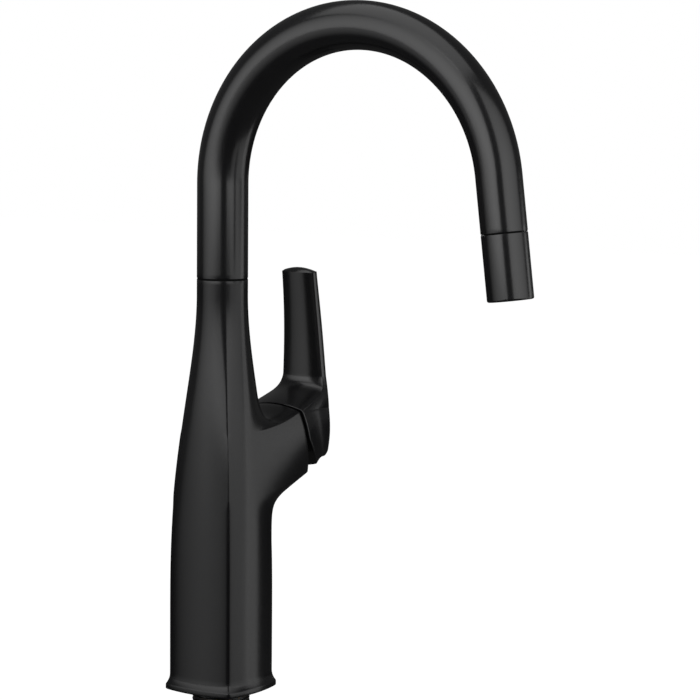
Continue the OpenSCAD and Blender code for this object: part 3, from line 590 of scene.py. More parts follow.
steel = stainless("brushed_stainless")
rubber_z = -deck_t - rubber_t
steel_z = rubber_z - steel_t
soft_outline = ring_outline(washer_bore_r, washer_r, rubber_z, -deck_t)
soft_washer = turned("rubber_washer", soft_outline, upright, rubber, 0.6)
settle(soft_washer, "faucet_body", "rubber", "deck_rubber_washer")
hard_outline = ring_outline(washer_bore_r, washer_r - 1, steel_z, rubber_z)
hard_washer = turned("steel_washer", hard_outline, upright, steel, 0.3)
settle(hard_washer, "faucet_body", "steel", "deck_steel_washer")


# Mounting nut
# A cast brass ring with a hexagonal foot for a spanner and three threaded holes for the jack screws.
nut_r = 26
nut_h = 10
nut_hex_h = 3
jack_stand = 3
jack_r = 3
jack_ring_r = (nut_r + shank_r) / 2
nut_z = steel_z - jack_stand - nut_h
nut_bore_r = shank_r + seat_gap


def flats(radius, corners, soft_share, around):
    """Distance to the side of a polygon at each angle, with its corners cut by a circle of
    soft_share of its corner radius."""
    a = np.linspace(0, 2 * np.pi, around, endpoint=False)
    wedge = 2 * np.pi / corners
    side = radius * np.cos(wedge / 2) / np.cos((a % wedge) - wedge / 2)
    return np.minimum(side, radius * soft_share)


def lofted_grid(rows, place, around):
    """Rows of (height, radius), where a radius is one number or a number for each angle."""
    return place(np.stack([around_z(r, z, around) for z, r in rows]))


def lofted(name, rows, place, material, around):
    """A piece from rows of (height, radius) whose last row meets the first."""
    return closed_piece(name, [(lofted_grid(rows, place, around), True)], material)


hex_foot = flats(nut_r, 6, 0.985, 144)
round_top = nut_r - 0.02
nut_step = nut_z + nut_hex_h
nut_top = nut_z + nut_h
nut_rows = [(nut_z, nut_bore_r + 0.5), (nut_z, hex_foot - 0.7), (nut_z + 0.5, hex_foot), (nut_step, hex_foot),
            (nut_step, round_top), (nut_top - 0.5, round_top), (nut_top, round_top - 0.5),
            (nut_top, nut_bore_r + 0.5), (nut_top - 0.5, nut_bore_r), (nut_z + 0.5, nut_bore_r),
            (nut_z, nut_bore_r + 0.5)]
nut = lofted("shank_nut", nut_rows, upright, brass, 144)
jack_angles = np.radians([0, 120, 240])


def jack_place(angle):
    """Places a jack screw's points round the shank at an angle."""
    shift = jack_ring_r * np.array([np.cos(angle), np.sin(angle), 0])
    return lambda p: p + shift


jack_hole_r = jack_r + seat_gap
jack_hole = [[0, nut_z - 1], [jack_hole_r, nut_z - 1], [jack_hole_r, nut_top + 1], [0, nut_top + 1]]
cut_out(nut, [turned("jack_hole", jack_hole, jack_place(a), brass, 0, 32) for a in jack_angles], brass)
settle(nut, "faucet_body", "brass", "mounting_nut")


# Jack screws
# Three socket head screws in the nut. Turned against the steel washer, they clamp the deck.
jack_pitch = 1.0
jack_len = jack_stand + nut_h + 5
jack_head_h = 4
jack_head_r = 4.6
socket_r = 2.9
socket_h = 2.5
jack_root_r = jack_r - 0.55
head_high = steel_z - jack_len
head_low = head_high - jack_head_h


def jack_screw_patches(place, around=48):
    """Thread, end, head and hexagonal socket of one screw."""
    socket = flats(socket_r, 6, 1, around)
    rows = [(head_high, jack_root_r), (head_high, jack_head_r - 0.3), (head_high - 0.3, jack_head_r),
            (head_low + 0.4, jack_head_r), (head_low, jack_head_r - 0.4),
            (head_low, socket), (head_low + socket_h, socket), (head_low + socket_h, 0)]
    side = thread_grid(jack_r, jack_r - jack_root_r, jack_pitch, head_high, steel_z, place, around)
    end = disc(jack_root_r, 0, steel_z, place, around)
    return [(lofted_grid(rows, place, around), True), (side, True), (end, True)]


jacks = closed_piece("jack_screws", sum([jack_screw_patches(jack_place(a)) for a in jack_angles], []), steel)
settle(jacks, "faucet_body", "steel", "nut_jack_screws")


# Swivel
# The brass sleeve of the spout turns in two plastic bushes in the neck and is held by a snap ring. A
# slip ring keeps spout and body apart and shows as a dark seam.
def moulded(name, low, high, roughness, grain_mm, relief=0.15, shine=0.5):
    """Moulded plastic: an even colour with faint flow marks, and a skin as fine as the mould's grain."""
    material, tree, place = new_material(name)
    flow = grain_of(tree, place, 11)
    grain = grain_of(tree, place, grain_mm, 3.0)
    surface(tree, grain, relief, 0.1, Base_Color=shades(tree, flow, low, high),
            Roughness=levels(tree, grain, roughness - 0.05, roughness + 0.05), Specular_IOR_Level=shine)
    return material


# Acetal: off-white, slightly waxy, from a polished mould.
acetal = moulded("acetal", "#d6d2c4", "#e2dfd4", 0.38, 1.2, 0.06)
# Glass-filled nylon, roughened: the dullest of the blacks. Its near-black colour and faint shine are painted
# shade, darker than the plastic itself, so that the seams and gaps it lies in read as dark lines.
nylon_black_as_painted_shade = moulded("glass_filled_nylon_painted_shade", "#040404", "#080808", 0.7, 0.8, shine=0.06)
seam = 1.0
seam_recess = 0.2
slip_outline = ring_outline(sleeve_r + 0.3, leg_r - seam_recess, body_h, body_h + seam - bush_gap)
slip_ring = turned("seam_ring", slip_outline, upright, nylon_black_as_painted_shade, 0.04)
settle(slip_ring, "faucet_body", "black_trim", "swivel_slip_ring")


def dress(material, *names):
    """Gives CAD nodes, whose shapes stay, their material."""
    for name in names:
        mesh = frame["nodes"][name].data
        mesh.materials.clear()
        mesh.materials.append(material)


dress(acetal, "upper_swivel_bush", "lower_swivel_bush")
dress(brass, "swivel_sleeve")
dress(steel, "sleeve_retaining_ring")


# Valve
# A ceramic disc cartridge in a brass housing, which is brazed into the branch. The carrier and the
# upper disc turn on the fixed disc, and the stem tilts on a pin in the carrier.
tilt_lean = np.pi / 2 - branch_tilt
valve_brass = turned_brass("valve_brass", 0.0, tilt_lean)
# Alumina, fired and lapped flat: bright white with a wet shine.
ceramic = moulded("lapped_alumina", "#efede6", "#f7f6f1", 0.12, 2.0, 0.02)
# Silicone rubber, dyed dark red: soft and dull.
red_silicone = moulded("red_silicone", "#66201c", "#7a2a25", 0.6, 1.0)
dress(valve_brass, "valve_housing", "cartridge_nut")
dress(red_silicone, "cartridge_seals")
dress(acetal, "cartridge_body", "stem_carrier")
dress(ceramic, "fixed_ceramic_disc", "moving_ceramic_disc")
dress(steel, "stem_pivot_pin", "cartridge_stem", "lever_set_screw")

# The bonnet is a thin black dome that is pushed into the branch's mouth over the nut.
bonnet_r = mouth_r - seat_gap
bonnet_hole_r = 9.8
bonnet_outline = [[bonnet_r, -1.8], [bonnet_r, 0.9], [bonnet_hole_r, 3.2], [bonnet_hole_r, 2.4],
                  [bonnet_r - 0.75, 0.1], [bonnet_r - 0.75, -1.8]]
bonnet = turned("valve_bonnet", bonnet_outline, on_valve_axis, nylon_black_as_painted_shade, 0.3)
settle(bonnet, "faucet_body", "black_trim", "cartridge_bonnet")


# Lever
# A brass casting with a hub over the valve and a tapered blade that rises from it. Inside the hub a
# post takes the valve's stem, and a set screw holds it.
blade_half_top = 10.9
blade_half_root = 13.7
blade_top = np.array([71.8, 228])
blade_root = np.array([77.4, 168])
blade_edge_top = 3.6
blade_edge_root = 4.2
blade_bow = 2.2
blade_lift = 0.4
blade_dome = 1.8
hub_gap = 2.6
hub_face_slope = 0.35
hub_hollow_r = 13.5
hub_hollow_u = 16
post_r = 6.2
back_root = blade_root + [blade_edge_root, 0]
back_high = branch_end + [28.8, 16.5]
back_low = branch_end + [28, -7.3]
back_low_w = branch_low_w - 1.6
back_bow = 2.4
hub_high_v = branch_half_h - 0.2
hub_low_v = -branch_half_h + 0.9
lever_soft = 2.0


def hub_point(v):
    """Point of the hub's inner face at v up the branch's end. Below v = 1 the face leans away."""
    v = np.asarray(v, float)[..., None]
    return branch_end + (hub_gap + np.maximum(0, 1 - v) * hub_face_slope) * along + v * across


scoop = [blade_root, blade_root - [0, 9.5], blade_root - [7.9, 9.4], hub_point(hub_high_v)]


def lever_rings(inner, outer, side_bow, soft=lever_soft):
    """Rings of the lever between its inner and outer faces. The sides bow out by side_bow."""
    middle = (inner[:, :3] + outer[:, :3]) / 2
    middle[:, 2] += side_bow
    n = len(inner)
    half, bow = np.full(n, blade_half_root), np.full(n, blade_bow)
    return bowed_rings(inner, middle, outer, half, bow, np.full(n, soft))


def faces(points, w, bow_x, bow_z):
    """Faces from points in x and z, half widths and bows."""
    n = len(points)
    return np.column_stack([points, w + np.zeros(n), bow_x + np.zeros(n), bow_z + np.zeros(n)])


def blade_faces(t):
    """Inner and outer faces from the blade's top to its root. Both are drawn out by a half sine."""
    swell = np.stack([np.sin(np.pi * t), 0 * t], 1)
    w = mix(blade_half_top, blade_half_root, t ** 1.6)
    line = mix(blade_top, blade_root, t[:, None])
    edge_t = np.stack([mix(blade_edge_top, blade_edge_root, t), mix(blade_lift, 0, t)], 1)
    return faces(line + 0.7 * swell, w, -blade_bow, 0), faces(line + edge_t + 1.15 * swell, w, blade_bow, 0)


def cap_faces(t):
    """The blade's domed top: the two faces close in on its middle line as t goes to 0."""
    inner, outer = (f.repeat(len(t), 0) for f in blade_faces(np.zeros(1)))
    rise = 1 - t * t
    middle_x = (inner[:, 0] + outer[:, 0]) / 2
    for f in (inner, outer):
        f[:, 0] = mix(middle_x, f[:, 0], t)
        f[:, 1] += 0.4 * rise
        f[:, 2] *= 1 - 0.03 * rise
        f[:, 3] *= t
        f[:, 4] = mix(-0.5, blade_dome, rise)
    return inner, outer


def scoop_faces(t):
    """The hub's inner face curves in towards the branch, and its outer face runs down from the blade."""
    spread = 1 - (1 - t) ** 1.25
    w = mix(blade_half_root, rim_width(1) - 0.4, spread)
    inner = curve_faces(scoop, t, w, mix(blade_bow, branch_top_bow, t))
    outer = faces(mix(back_root, back_high, t[:, None]), mix(blade_half_root, back_low_w, spread),
                  mix(blade_bow, back_bow, t), 0)
    return inner, outer


def hub_faces(t):
    """The inner face follows the branch's end at the gap, and the outer face closes in below."""
    v = mix(hub_high_v, hub_low_v, t)
    lift = column(mix(branch_top_bow, -branch_under_bow, t)) * across
    inner = faces(hub_point(v), rim_width(v / branch_half_h) - 0.2, lift[:, 0], lift[:, 1])
    back = np.stack([mix(back_high[0], back_low[0], t ** 4), mix(back_high[1], back_low[1], t)], 1)
    return inner, faces(back, back_low_w + 0.8 * np.sin(np.pi * t), back_bow, 0)


t_cap = np.linspace(0.08, 0.97, 10)
t_blade = np.linspace(0.006, 1, 44)
t_scoop = np.linspace(0.02, 0.985, 40)
t_hub = np.linspace(0.02, 1, 36)
cap = lever_rings(*cap_faces(t_cap), 0.1, 0.35)
blade = lever_rings(*blade_faces(t_blade), 0.2)
cap_edge = edge_between(cap, lever_rings(*blade_faces(np.zeros(1)), 0.2), blade, 3)
hub_side = lever_rings(*hub_faces(t_hub), mix(0.9, 0.3, t_hub))
scoop_part = lever_rings(*scoop_faces(t_scoop), mix(0.2, 0.9, t_scoop))
hub_edge = edge_between(scoop_part, lever_rings(*scoop_faces(np.ones(1)), 0.9), hub_side, 3)
lever_skin = np.concatenate([cap, cap_edge, blade, scoop_part, hub_edge, hub_side])
lever_ends = [(ladder(lever_skin[0], 5), False), (ladder(lever_skin[-1], 16), False)]
lever = closed_piece("lever_casting", [(lever_skin, True), *lever_ends], coat)

post_start = 8
stem_t = 6.4
stem_w = 7
stem_reach = 15.4
set_screw_r = 2.5
screw_u = 11.5
hub_hollow = [[post_r, post_start], [post_r, hub_hollow_u], [hub_hollow_r, hub_hollow_u], [hub_hollow_r, -1],
              [0, -1], [0, post_start]]


def block(name, low, high, place):
    """A box between two corners, as a closed ring of four points carried from its foot to its top."""
    x, y = np.array([[low[0], high[0], high[0], low[0]], [low[1], low[1], high[1], high[1]]])
    middle_x, middle_y = x.mean() + 0 * x, y.mean() + 0 * y
    foot, top = low[2] + 0 * x, high[2] + 0 * x
    rows = [[middle_x, middle_y, foot], [x, y, foot], [x, y, top], [middle_x, middle_y, top]]
    return closed_piece(name, [(place(np.moveaxis(np.array(rows), 1, -1)), True)], coat)


def on_screw_axis(p):
    """Points whose z runs down in the plane of the branch's end, at screw_u along the valve axis."""
    x, y, z = np.moveaxis(p, -1, 0)
    return on_valve_axis(np.stack([z, y, screw_u - x], -1))


fit_t = stem_t / 2 + seat_gap
fit_w = stem_w / 2 + seat_gap
socket = [-fit_t, -fit_w, post_start - 1], [fit_t, fit_w, stem_reach + 0.2]
screw_hole_r = set_screw_r + seat_gap
screw_hole = [[0, 0], [screw_hole_r, 0], [screw_hole_r, 30], [0, 30]]
cut_out(lever, [turned("hub_hollow", hub_hollow, on_valve_axis, coat, 0),
                block("socket", *socket, on_valve_axis),
                turned("screw_hole", screw_hole, on_screw_axis, coat, 0, 40)], coat)
settle(lever, "lever_handle", "black_finish", "lever")

# The plug is a black disc over the set screw's hole.
plug_start = hub_hollow_r + 0.3
plug_t = 1.4
plug = turned("screw_plug", [[0, plug_start], [set_screw_r, plug_start], [set_screw_r, plug_start + plug_t],
                             [0, plug_start + plug_t]], on_screw_axis, nylon_black_as_painted_shade, 0.3, 40)
settle(plug, "lever_handle", "black_trim", "set_screw_plug")


# Spout
# A brass tube, drawn thinner towards its end and bent to a high arch. Its foot is brazed to the
# swivel sleeve, and it is polished and coated black.
leg_start_z = body_h + seam
spout_end_r = 12.2
spout_wall = 1.8
arch_z = 281.4
arch_rise = 86.4
arch_in = 87.85
arch_out = 88.75
arch_drop = arch_rise * arch_out / arch_in
arch_turn = np.pi - np.radians(7.2)
outlet_straight = 29


def arch_path(a):
    """Two quarter ellipses with their ends at the top: y = -arch_in + span cos a and z = top - height
    (1 - sin a), with the tangent and the tube's radius, which eases from the leg's to the end's. Rows
    are y, z, tangent y, tangent z, radius."""
    rises = a < np.pi / 2
    span, height = np.where(rises, arch_in, arch_out), np.where(rises, arch_rise, arch_drop)
    tangent = np.stack([-span * np.sin(a), height * np.cos(a)], 1)
    tangent /= np.linalg.norm(tangent, axis=1)[:, None]
    y, z = -arch_in + span * np.cos(a), arch_z + arch_rise - height * (1 - np.sin(a))
    return np.column_stack([y, z, tangent, mix(leg_r, spout_end_r, ease(a / arch_turn))])


arch_end = arch_path(np.array([arch_turn]))[0]
outlet_dir = arch_end[2:4]
outlet = arch_end[:2] + outlet_straight * outlet_dir


def leg_path(z):
    """The straight leg on Z."""
    return np.column_stack([0 * z, z, 0 * z, 0 * z + 1, 0 * z + leg_r])


def outlet_path(w):
    """The straight end, at a distance w back from the outlet."""
    return np.column_stack([outlet[0] - w * outlet_dir[0], outlet[1] - w * outlet_dir[1],
                            0 * w + outlet_dir[0], 0 * w + outlet_dir[1], 0 * w + spout_end_r])


def tube_grid(path, radius, around):
    """Circles square to a path in the plane x = 0: (r cos a, y + r sin a tz, z - r sin a ty)."""
    y, z, ty, tz = path[:, :4].T[:, :, None]
    side, up, _ = np.moveaxis(around_z(column(radius), 0, around), -1, 0)
    return np.stack([side, y + up * tz, z - up * ty], -1)


rounding = seam_soft * (1 - np.cos(foot_round[:-1]))
spout_path = np.concatenate([leg_path(leg_start_z + rounding),
                             leg_path(np.linspace(leg_start_z + seam_soft, arch_z - 1, 22)),
                             arch_path(np.linspace(0, arch_turn, 136)),
                             outlet_path(np.linspace(28, seam_soft, 12)), outlet_path(rounding[::-1])])
end_loss = seam_soft * (1 - np.sin(foot_round[:-1]))
lost = np.concatenate([end_loss, np.zeros(len(spout_path) - 2 * len(end_loss)), end_loss[::-1]])
spout_outside = tube_grid(spout_path, spout_path[:, 4] - lost, 112)
spout_inside = tube_grid(spout_path, spout_path[:, 4] - spout_wall, 112)[::-1]
spout_skin = np.concatenate([spout_outside, spout_inside, spout_outside[:1]])
spout = closed_piece("gooseneck", [(spout_skin, True)], coat)
settle(spout, "spout", "black_finish", "spout_tube")


# Dock in the spout's end
# A black plastic collar, pushed into the tube, guides the spray head home. Its lip shows as the dark
# seam, and a ring magnet above it holds the head.
def on_outlet_axis(p):
    """Points whose z runs down along the outlet's axis from the spout's end."""
    x, y, z = np.moveaxis(p, -1, 0)
    return np.stack([x, outlet[0] + y * outlet_dir[1] + z * outlet_dir[0],
                     outlet[1] - y * outlet_dir[0] + z * outlet_dir[1]], -1)


spigot_r = 7.9
dock_bore_r = spigot_r + 0.35
collar_len = 16
magnet_h = 4
# The frame's tube has 28 sides, and the collar fits between its flats.
tube_sides = 28
push_r = (spout_end_r - spout_wall) * np.cos(np.pi / tube_sides) - seat_gap
lip_r = spout_end_r - seam_recess
lip_end = 0.74
collar_outline = [[dock_bore_r, -collar_len], [push_r, -collar_len], [push_r, 0.05], [lip_r, 0.05],
                  [lip_r, lip_end], [dock_bore_r + 0.4, lip_end], [dock_bore_r, 0.1]]
collar = turned("dock_guide", collar_outline, on_outlet_axis, nylon_black_as_painted_shade, 0.04)
settle(collar, "spout", "black_trim", "dock_collar")
# Nickel plate on a sintered ring, rubbed as dull as the brushed steel by the head's spigot.
nickel = stainless("nickel_plate")
magnet = turned("ring_magnet", ring_outline(dock_bore_r, push_r - 0.3, -collar_len - magnet_h, -collar_len),
                on_outlet_axis, nickel, 0.3)
settle(magnet, "spout", "magnet", "dock_magnet")


# Spray hose
# A nylon-braided hose, 10 mm across, which runs up through the shank and the body, round the arch and
# down to the spray head. Its last stretch is a piece of its own that runs out with the head.
hose_r = 5
hose_low = -84
spigot_len = 13
ferrule_top = -spigot_len - 27
pull = max(joint["range_m"][1] for joint in frame["joints"] if joint["name"] == "spray_pull") * 1000
hose_split = 0.9
yarn_pairs = 12
yarn_pitch = 11


def braided_nylon():
    """Polyamide yarn braided over a rubber tube: two sets of yarns wind opposite ways, 12 each, and
    pass over and under each other. A yarn is 1.8 mm wide. The pattern reads the hose's UV map: u goes
    once round it, and v is the length in pitches of the yarn."""
    material, tree, _ = new_material("nylon_braid")
    uv = add(tree, "ShaderNodeUVMap", dict(uv_map="braid")).outputs["UV"]
    parts = add(tree, "ShaderNodeSeparateXYZ", Vector=uv)
    turn = maths(tree, "MULTIPLY", parts.outputs["X"], 2 * np.pi * yarn_pairs)
    climb = maths(tree, "MULTIPLY", parts.outputs["Y"], 2 * np.pi * yarn_pairs)
    left = maths(tree, "SINE", maths(tree, "ADD", turn, climb))
    right = maths(tree, "SINE", maths(tree, "SUBTRACT", turn, climb))
    knots = maths(tree, "MULTIPLY", left, right)
    height = maths(tree, "MULTIPLY_ADD", knots, 0.3, maths(tree, "MAXIMUM", left, right))
    # The colour follows the braid's height, from near black in the low parts to grey on the yarns' crowns:
    # painted shade in the grooves between the yarns.
    surface(tree, height, 0.7, 0.5, Base_Color=shades(tree, height, "#141415", "#47484b"), Roughness=0.58)
    return material


braid = braided_nylon()


def hose_piece(name, path, length):
    """A capped hose along a path, with its UV map. length is the hose's length up to each ring. A
    vertex takes v from the nearest ring and u from its angle there. Where a face crosses the angle at
    which u jumps, its low corners get one turn more."""
    grid = tube_grid(path, np.full(len(path), hose_r), 48)
    caps = [(tube_grid(path[[k, k]], np.array([hose_r, 0]), 48), True) for k in (0, -1)]
    mesh = closed_piece(name, [(grid, True), *caps], braid).data
    layer = mesh.uv_layers.new(name="braid")
    corners = np.empty(len(mesh.loops), int)
    mesh.loops.foreach_get("vertex_index", corners)
    co = np.empty(len(mesh.vertices) * 3)
    mesh.vertices.foreach_get("co", co)
    x, y, z = (co.reshape(-1, 3) * 1000).T
    near = ((y[:, None] - path[:, 0]) ** 2 + (z[:, None] - path[:, 1]) ** 2).argmin(1)
    ring = path[near]
    height = (y - ring[:, 0]) * ring[:, 3] - (z - ring[:, 1]) * ring[:, 2]
    u = (np.arctan2(height, x) / (2 * np.pi))[corners]
    v = (np.asarray(length) / yarn_pitch)[near][corners]
    counts = np.empty(len(mesh.polygons), int)
    mesh.polygons.foreach_get("loop_total", counts)
    face_of = np.repeat(np.arange(len(counts)), counts)
    highest = np.full(len(counts), -1.0)
    np.maximum.at(highest, face_of, u)
    u = np.where(highest[face_of] - u > 0.5, u + 1, u)
    layer.data.foreach_set("uv", np.column_stack([u, v]).astype(np.float32).ravel())
    return bpy.data.objects[name]


def path_length(path):
    """Length along a path up to each of its points."""
    steps = np.linalg.norm(np.diff(path[:, :2], axis=0), axis=1)
    return np.concatenate([[0], np.cumsum(steps)])


split_path = arch_path(np.array([arch_turn * hose_split]))
run_out_end = outlet_path(np.array([-ferrule_top + 0.3]))
hose_path = np.concatenate([leg_path(np.linspace(hose_low, arch_z - 9, 120)),
                            arch_path(np.linspace(0, arch_turn * hose_split, 110))])
hose_lengths = path_length(hose_path)
hose = hose_piece("braided_hose", hose_path, hose_lengths)
settle(hose, "spout", "hose_braid", "spray_hose")

# The stretch that runs out has its rings spaced for the hose's full run, so that the braid keeps its
# pitch when the head is pulled out. At rest they are pressed together inside the spout.
share = np.linspace(0, 1, 4000)
stretch = split_path + column(share) * (run_out_end - split_path)
stretch[:, 2:4] /= np.linalg.norm(stretch[:, 2:4], axis=1)[:, None]
travel = share * np.linalg.norm(run_out_end[0, :2] - split_path[0, :2]) + pull * ease(share)
at = np.interp(np.linspace(0, travel[-1], 190), travel, np.arange(len(share))).astype(int)
run_out = hose_piece("hose_run_out", stretch[at], hose_lengths[-1] + travel[at])
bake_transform(run_out)

# The brass fitting at the hose's lower end has a plug for the valve's outlet hose and a crimped ferrule.
crimp_depth = 0.45
tail_plug_r = 4.5
tail_ferrule_r = hose_r + 1
tail_bore_r = 1.8
tail_len = 26
tail_low = hose_low - tail_len


def crimp(r, low, slope, flat):
    """(radius, height) points of the groove that a crimping tool presses into a ferrule of radius r."""
    heights = low + np.array([0, slope, slope + flat, 2 * slope + flat])
    return list(zip([r, r - crimp_depth, r - crimp_depth, r], heights))


tail_outline = [[tail_bore_r, 0], [tail_plug_r - 0.6, 0], [tail_plug_r, 0.6], [tail_plug_r, 9],
                [tail_plug_r - 0.8, 9], [tail_plug_r - 0.8, 10.6], [hose_r + 2, 10.6], [hose_r + 2, 13.6],
                [tail_ferrule_r, 13.6], *crimp(tail_ferrule_r, 17, 0.4, 1),
                *crimp(tail_ferrule_r, 21, 0.4, 1), [tail_ferrule_r, tail_len], [tail_bore_r, tail_len]]
tail = turned("hose_tail", np.array(tail_outline) + [0, tail_low], upright, brass, 0.2)
settle(tail, "spout", "brass", "hose_tail_fitting")


# Spray head
# A turned brass shell, coated like the spout. Its spigot docks in the spout and carries a steel ring
# for the magnet.
head_r = 12.2
head_len = 35.3
head_seam = 0.8
head_round = 1.1
aerator_r = 10.3
aerator_h = 13
aerator_end = head_len - 0.8
aerator_start = aerator_end - aerator_h
seal_h = 1.6
valve_seat = -1
check_valve_r = 5
spigot_bore_r = 5.6
round_points = np.linspace(0, np.pi / 2, 7)
lip = [[head_r - head_round * (1 - np.cos(a)), head_len - head_round * (1 - np.sin(a))] for a in round_points]
head_outline = [[spigot_bore_r, -spigot_len], [spigot_r - 0.8, -spigot_len], [spigot_r, -spigot_len + 1.2],
                [spigot_r, -spigot_len + 3], [spigot_r - 1, -spigot_len + 3],
                [spigot_r - 1, -spigot_len + 6], [spigot_r, -spigot_len + 6], [spigot_r, head_seam],
                [head_r - 0.1, head_seam], [head_r, head_seam + 0.1], *lip,
                [aerator_r + seat_gap, head_len], [aerator_r + seat_gap, aerator_start - seal_h],
                [8.4, aerator_start - seal_h], [8.4, 9], [check_valve_r + seat_gap, 9],
                [check_valve_r + seat_gap, valve_seat], [spigot_bore_r, valve_seat]]
head = turned("spray_shell", head_outline, on_outlet_axis, coat, 0.25, 112)
settle(head, "spray_head", "black_finish", "spray_head_shell")
dock_outline = ring_outline(spigot_r - 1 + seat_gap, spigot_r - seat_gap, 3.1 - spigot_len, 5.9 - spigot_len)
dock_ring = turned("dock_ring", dock_outline, on_outlet_axis, steel, 0.15)
settle(dock_ring, "spray_head", "steel", "head_dock_ring")

# The hose's brass fitting screws into the spigot: a tail, a hexagon and a crimped ferrule.
fitting_brass = turned_brass("fitting_brass", np.arctan2(-outlet_dir[0], -outlet_dir[1]))
fitting_tail_r = spigot_bore_r - seat_gap
hexagon = flats(7.4, 6, 0.965, 120)
ferrule_r = hose_r + 0.9
ferrule_end = -spigot_len - 11
hex_start = -spigot_len - 8
hex_end = -spigot_len - 0.3
fitting_bore_r = 2.6
crimps = [(z, r) for up in (4, 9.5) for r, z in crimp(ferrule_r, ferrule_top + up, 0.5, 1.1)]
fit_rows = [(ferrule_top, fitting_bore_r), (ferrule_top, ferrule_r - 0.3), (ferrule_top + 0.5, ferrule_r),
            *crimps,
            (ferrule_end - 0.4, ferrule_r), (ferrule_end, ferrule_r - 0.35), (ferrule_end, fitting_tail_r),
            (hex_start, fitting_tail_r), (hex_start, hexagon - 0.4), (hex_start + 0.4, hexagon),
            (hex_end - 0.4, hexagon), (hex_end, hexagon - 0.4), (hex_end, fitting_tail_r),
            (valve_seat - 0.9, fitting_tail_r), (valve_seat - 0.9, fitting_bore_r),
            (ferrule_top, fitting_bore_r)]
fitting = lofted("hose_fitting", fit_rows, on_outlet_axis, fitting_brass, 120)
settle(fitting, "spray_head", "brass", "hose_end_fitting")
dress(rubber, "hose_seal", "aerator_seal")
dress(acetal, "check_valve")


# Aerator
# A threaded plastic cup with a honeycomb that straightens the stream. Four notches take its key.
grey_nylon = moulded("grey_nylon", "#242527", "#2e2f31", 0.45, 0.9)
# Polypropylene, light grey: a little see-through in life, and soft to look at.
pale_plastic = moulded("polypropylene", "#b9babb", "#cbccca", 0.42, 1.0, 0.08)
screen_r = aerator_r - 1.9
screen_start = aerator_end - 1.6 - 0.6
cup_outline = [[0, aerator_start], [aerator_r, aerator_start], [aerator_r, aerator_end],
               [screen_r + seat_gap, aerator_end], [screen_r + seat_gap, screen_start],
               [screen_r - 0.9, screen_start], [screen_r - 0.9, aerator_start + 3], [0, aerator_start + 3]]
cup = turned("aerator_cup", cup_outline, on_outlet_axis, grey_nylon, 0.12)


def round_outlet(angle, shift=(0, 0, 0)):
    """Shifts points and turns them about the outlet's axis: p + shift times a turn about Z."""
    c, s = np.cos(angle), np.sin(angle)
    turn = np.array([[c, s, 0], [-s, c, 0], [0, 0, 1]])
    return lambda p: on_outlet_axis((p + shift) @ turn)


notch = [aerator_r - 1.2, -1.3, aerator_end - 0.8], [aerator_r + 1.2, 1.3, aerator_end + 0.8]
jet_outline = [[0, aerator_start - 1], [1.2, aerator_start - 1],
               [1.2, aerator_start + 4], [0, aerator_start + 4]]
cuts = [block("notch", *notch, round_outlet(a)) for a in np.radians([0, 90, 180, 270])]
cuts += [turned("jet", jet_outline, round_outlet(a, (5, 0, 0)), grey_nylon, 0, 16)
         for a in np.radians(np.arange(0, 360, 45))]
cut_out(cup, cuts, grey_nylon)
settle(cup, "spray_head", "grey_plastic", "aerator_housing")
dress(pale_plastic, "aerator_screen")


# Camera
# It stands where the photograph was taken from: in front of the spout and to its left, a little
# above the arch's foot, with the outlet to the right. Angles are in radians and the place in metres.
camera_azimuth = -0.9781
camera_pitch = 0.1122
camera_roll = 0.0087
camera_place = Vector((-1.213886, -0.902491, 0.360234))
lens_mm = 141.8
to_right = Vector((np.cos(camera_azimuth), np.sin(camera_azimuth), 0))
to_camera = Vector((np.sin(camera_azimuth), -np.cos(camera_azimuth), 0))
backwards = to_camera * np.cos(camera_pitch) + Vector((0, 0, np.sin(camera_pitch)))
upwards = backwards.cross(to_right)
camera_data = bpy.data.cameras.new("camera")
camera_data.lens = lens_mm
camera_data.sensor_width = 36
camera_data.clip_start, camera_data.clip_end = 0.05, 50
camera = bpy.data.objects.new("camera", camera_data)
turn = Matrix.Rotation(camera_roll, 3, "Z")
axes = Matrix((to_right, upwards, backwards)).transposed() @ turn
camera.matrix_world = Matrix.Translation(camera_place) @ axes.to_4x4()
bpy.context.scene.collection.objects.link(camera)
bpy.context.scene.camera = camera


# Studio
# A bright pair of large soft boxes stands either side of the camera, level with the arch, so that a
# round tube shows two soft bands with a dark line between them. A weaker pair below lights the body.
# The floor lies below the reach of the spray head.
box_distance = 0.8
arch_middle_y = -0.09


def soft_box(name, height, axis, right, up, spread, level):
    """A soft box whose axis, at an angle to the right of the camera and above the horizon, points at the
    faucet's middle line at a height. right and up are its edges' angles from the axis. Its cloth glows at
    level on the axis and at level times 1 - tan a / tan s at an angle a, where s is half the spread. The
    lamp's power is the level times pi times its area times 1 - s / tan s."""
    a, e = np.radians(axis)
    out = (to_camera * np.cos(a) + to_right * np.sin(a)) * np.cos(e) + Vector((0, 0, np.sin(e)))
    x, y = (box_distance * np.tan(np.radians(span)) for span in (right, up))
    s = np.radians(spread) / 2
    data = bpy.data.lights.new(name, "AREA")
    data.shape, data.size, data.size_y, data.spread = "RECTANGLE", x[1] - x[0], y[1] - y[0], 2 * s
    data.energy = level * np.pi * data.size * data.size_y * (1 - s / np.tan(s))
    lamp = bpy.data.objects.new(name, data)
    lamp.rotation_euler = out.to_track_quat("Z", "Y").to_euler()
    shift = Vector((x.mean(), y.mean(), 0))
    shift.rotate(lamp.rotation_euler)
    lamp.location = Vector((0, arch_middle_y, height)) + out * box_distance + shift
    bpy.context.scene.collection.objects.link(lamp)


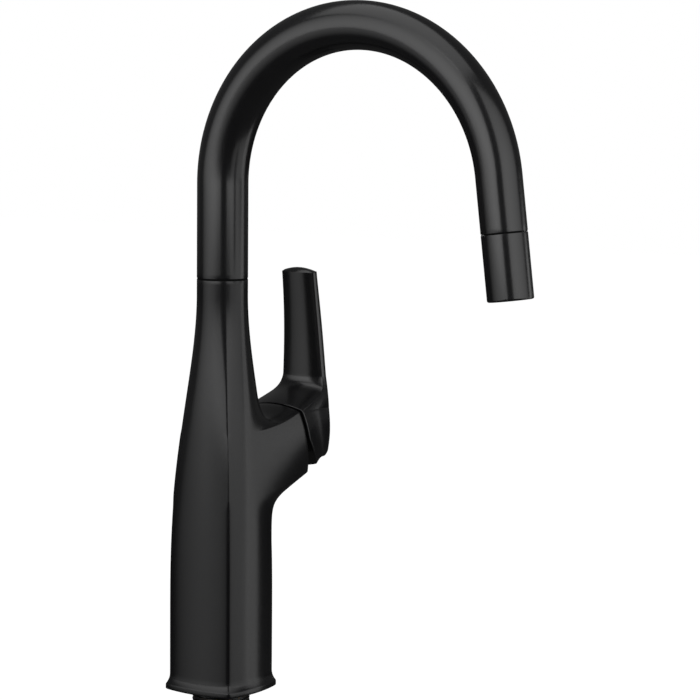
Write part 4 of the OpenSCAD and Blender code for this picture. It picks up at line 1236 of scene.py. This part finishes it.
soft_box("left_soft_box", 0.4, (-36, 0), (-62, 25), (-14, 45), 126, 2.7)
soft_box("left_low_box", 0.2, (-60, 0), (-36, 34), (-41, 0), 84, 1.15)
soft_box("right_soft_box", 0.4, (34, 0), (-17, 58), (-14, 45), 134, 2.1)
soft_box("right_low_box", 0.2, (75, 0), (-41, 27), (-41, 0), 120, 1.15)
soft_box("right_fill", 0.15, (110, 0), (-11, 7), (-38, 12), 140, 1.2)
soft_box("top_soft_box", 0.3, (-50, 72), (-35, 35), (-24, 32), 150, 1.4)

floor_z = -260
floor_half = 6000
room_level = 0.02
gloss_level = 0.07


def seamless_paper():
    """White background paper. To the camera it glows: white from 0.9 m away, and a little dimmer
    within 0.3 m of the faucet, so that the shadow there still shows."""
    material, tree, place = new_material("seamless_paper")
    fibres = grain_of(tree, place, 3)
    paper = add(tree, "ShaderNodeBsdfPrincipled", Base_Color=shades(tree, fibres, "#5c5c5c", "#646464"),
                Roughness=0.9)
    away = add(tree, "ShaderNodeVectorMath", dict(operation="LENGTH"), i0=place).outputs["Value"]
    glow = add(tree, "ShaderNodeMapRange", dict(interpolation_type="SMOOTHSTEP"), i0=away, i1=0.3, i2=0.9,
               i3=0.7, i4=1.0)
    seen = add(tree, "ShaderNodeLightPath").outputs["Is Camera Ray"]
    glare = add(tree, "ShaderNodeEmission", Color=(1, 1, 1, 1),
                Strength=maths(tree, "MULTIPLY", seen, glow.outputs["Result"]))
    both = add(tree, "ShaderNodeAddShader", i0=paper.outputs["BSDF"], i1=glare.outputs["Emission"])
    add(tree, "ShaderNodeOutputMaterial", Surface=both.outputs["Shader"])
    return material


sides = np.array([-floor_half, floor_half])
floor_x, floor_y = np.meshgrid(sides, sides)
floor_grid = np.stack([floor_x, floor_y, 0 * floor_x + floor_z], -1)
floor = closed_piece("floor", [(floor_grid, False)], seamless_paper())

# The room is white to the camera and through glass, and nearly dark to the coat's reflections.
world = bpy.data.worlds.new("studio")
world.use_nodes = True
sky = world.node_tree
sky.nodes.clear()
rays = add(sky, "ShaderNodeLightPath").outputs
white = maths(sky, "MAXIMUM", rays["Is Camera Ray"], rays["Is Transmission Ray"])
dim = maths(sky, "MULTIPLY_ADD", rays["Is Glossy Ray"], gloss_level, room_level)
backdrop = add(sky, "ShaderNodeBackground", Color=(1, 1, 1, 1), Strength=maths(sky, "MAXIMUM", white, dim))
add(sky, "ShaderNodeOutputWorld", Surface=backdrop.outputs["Background"])
bpy.context.scene.world = world
bpy.context.scene.view_settings.view_transform = "Standard"
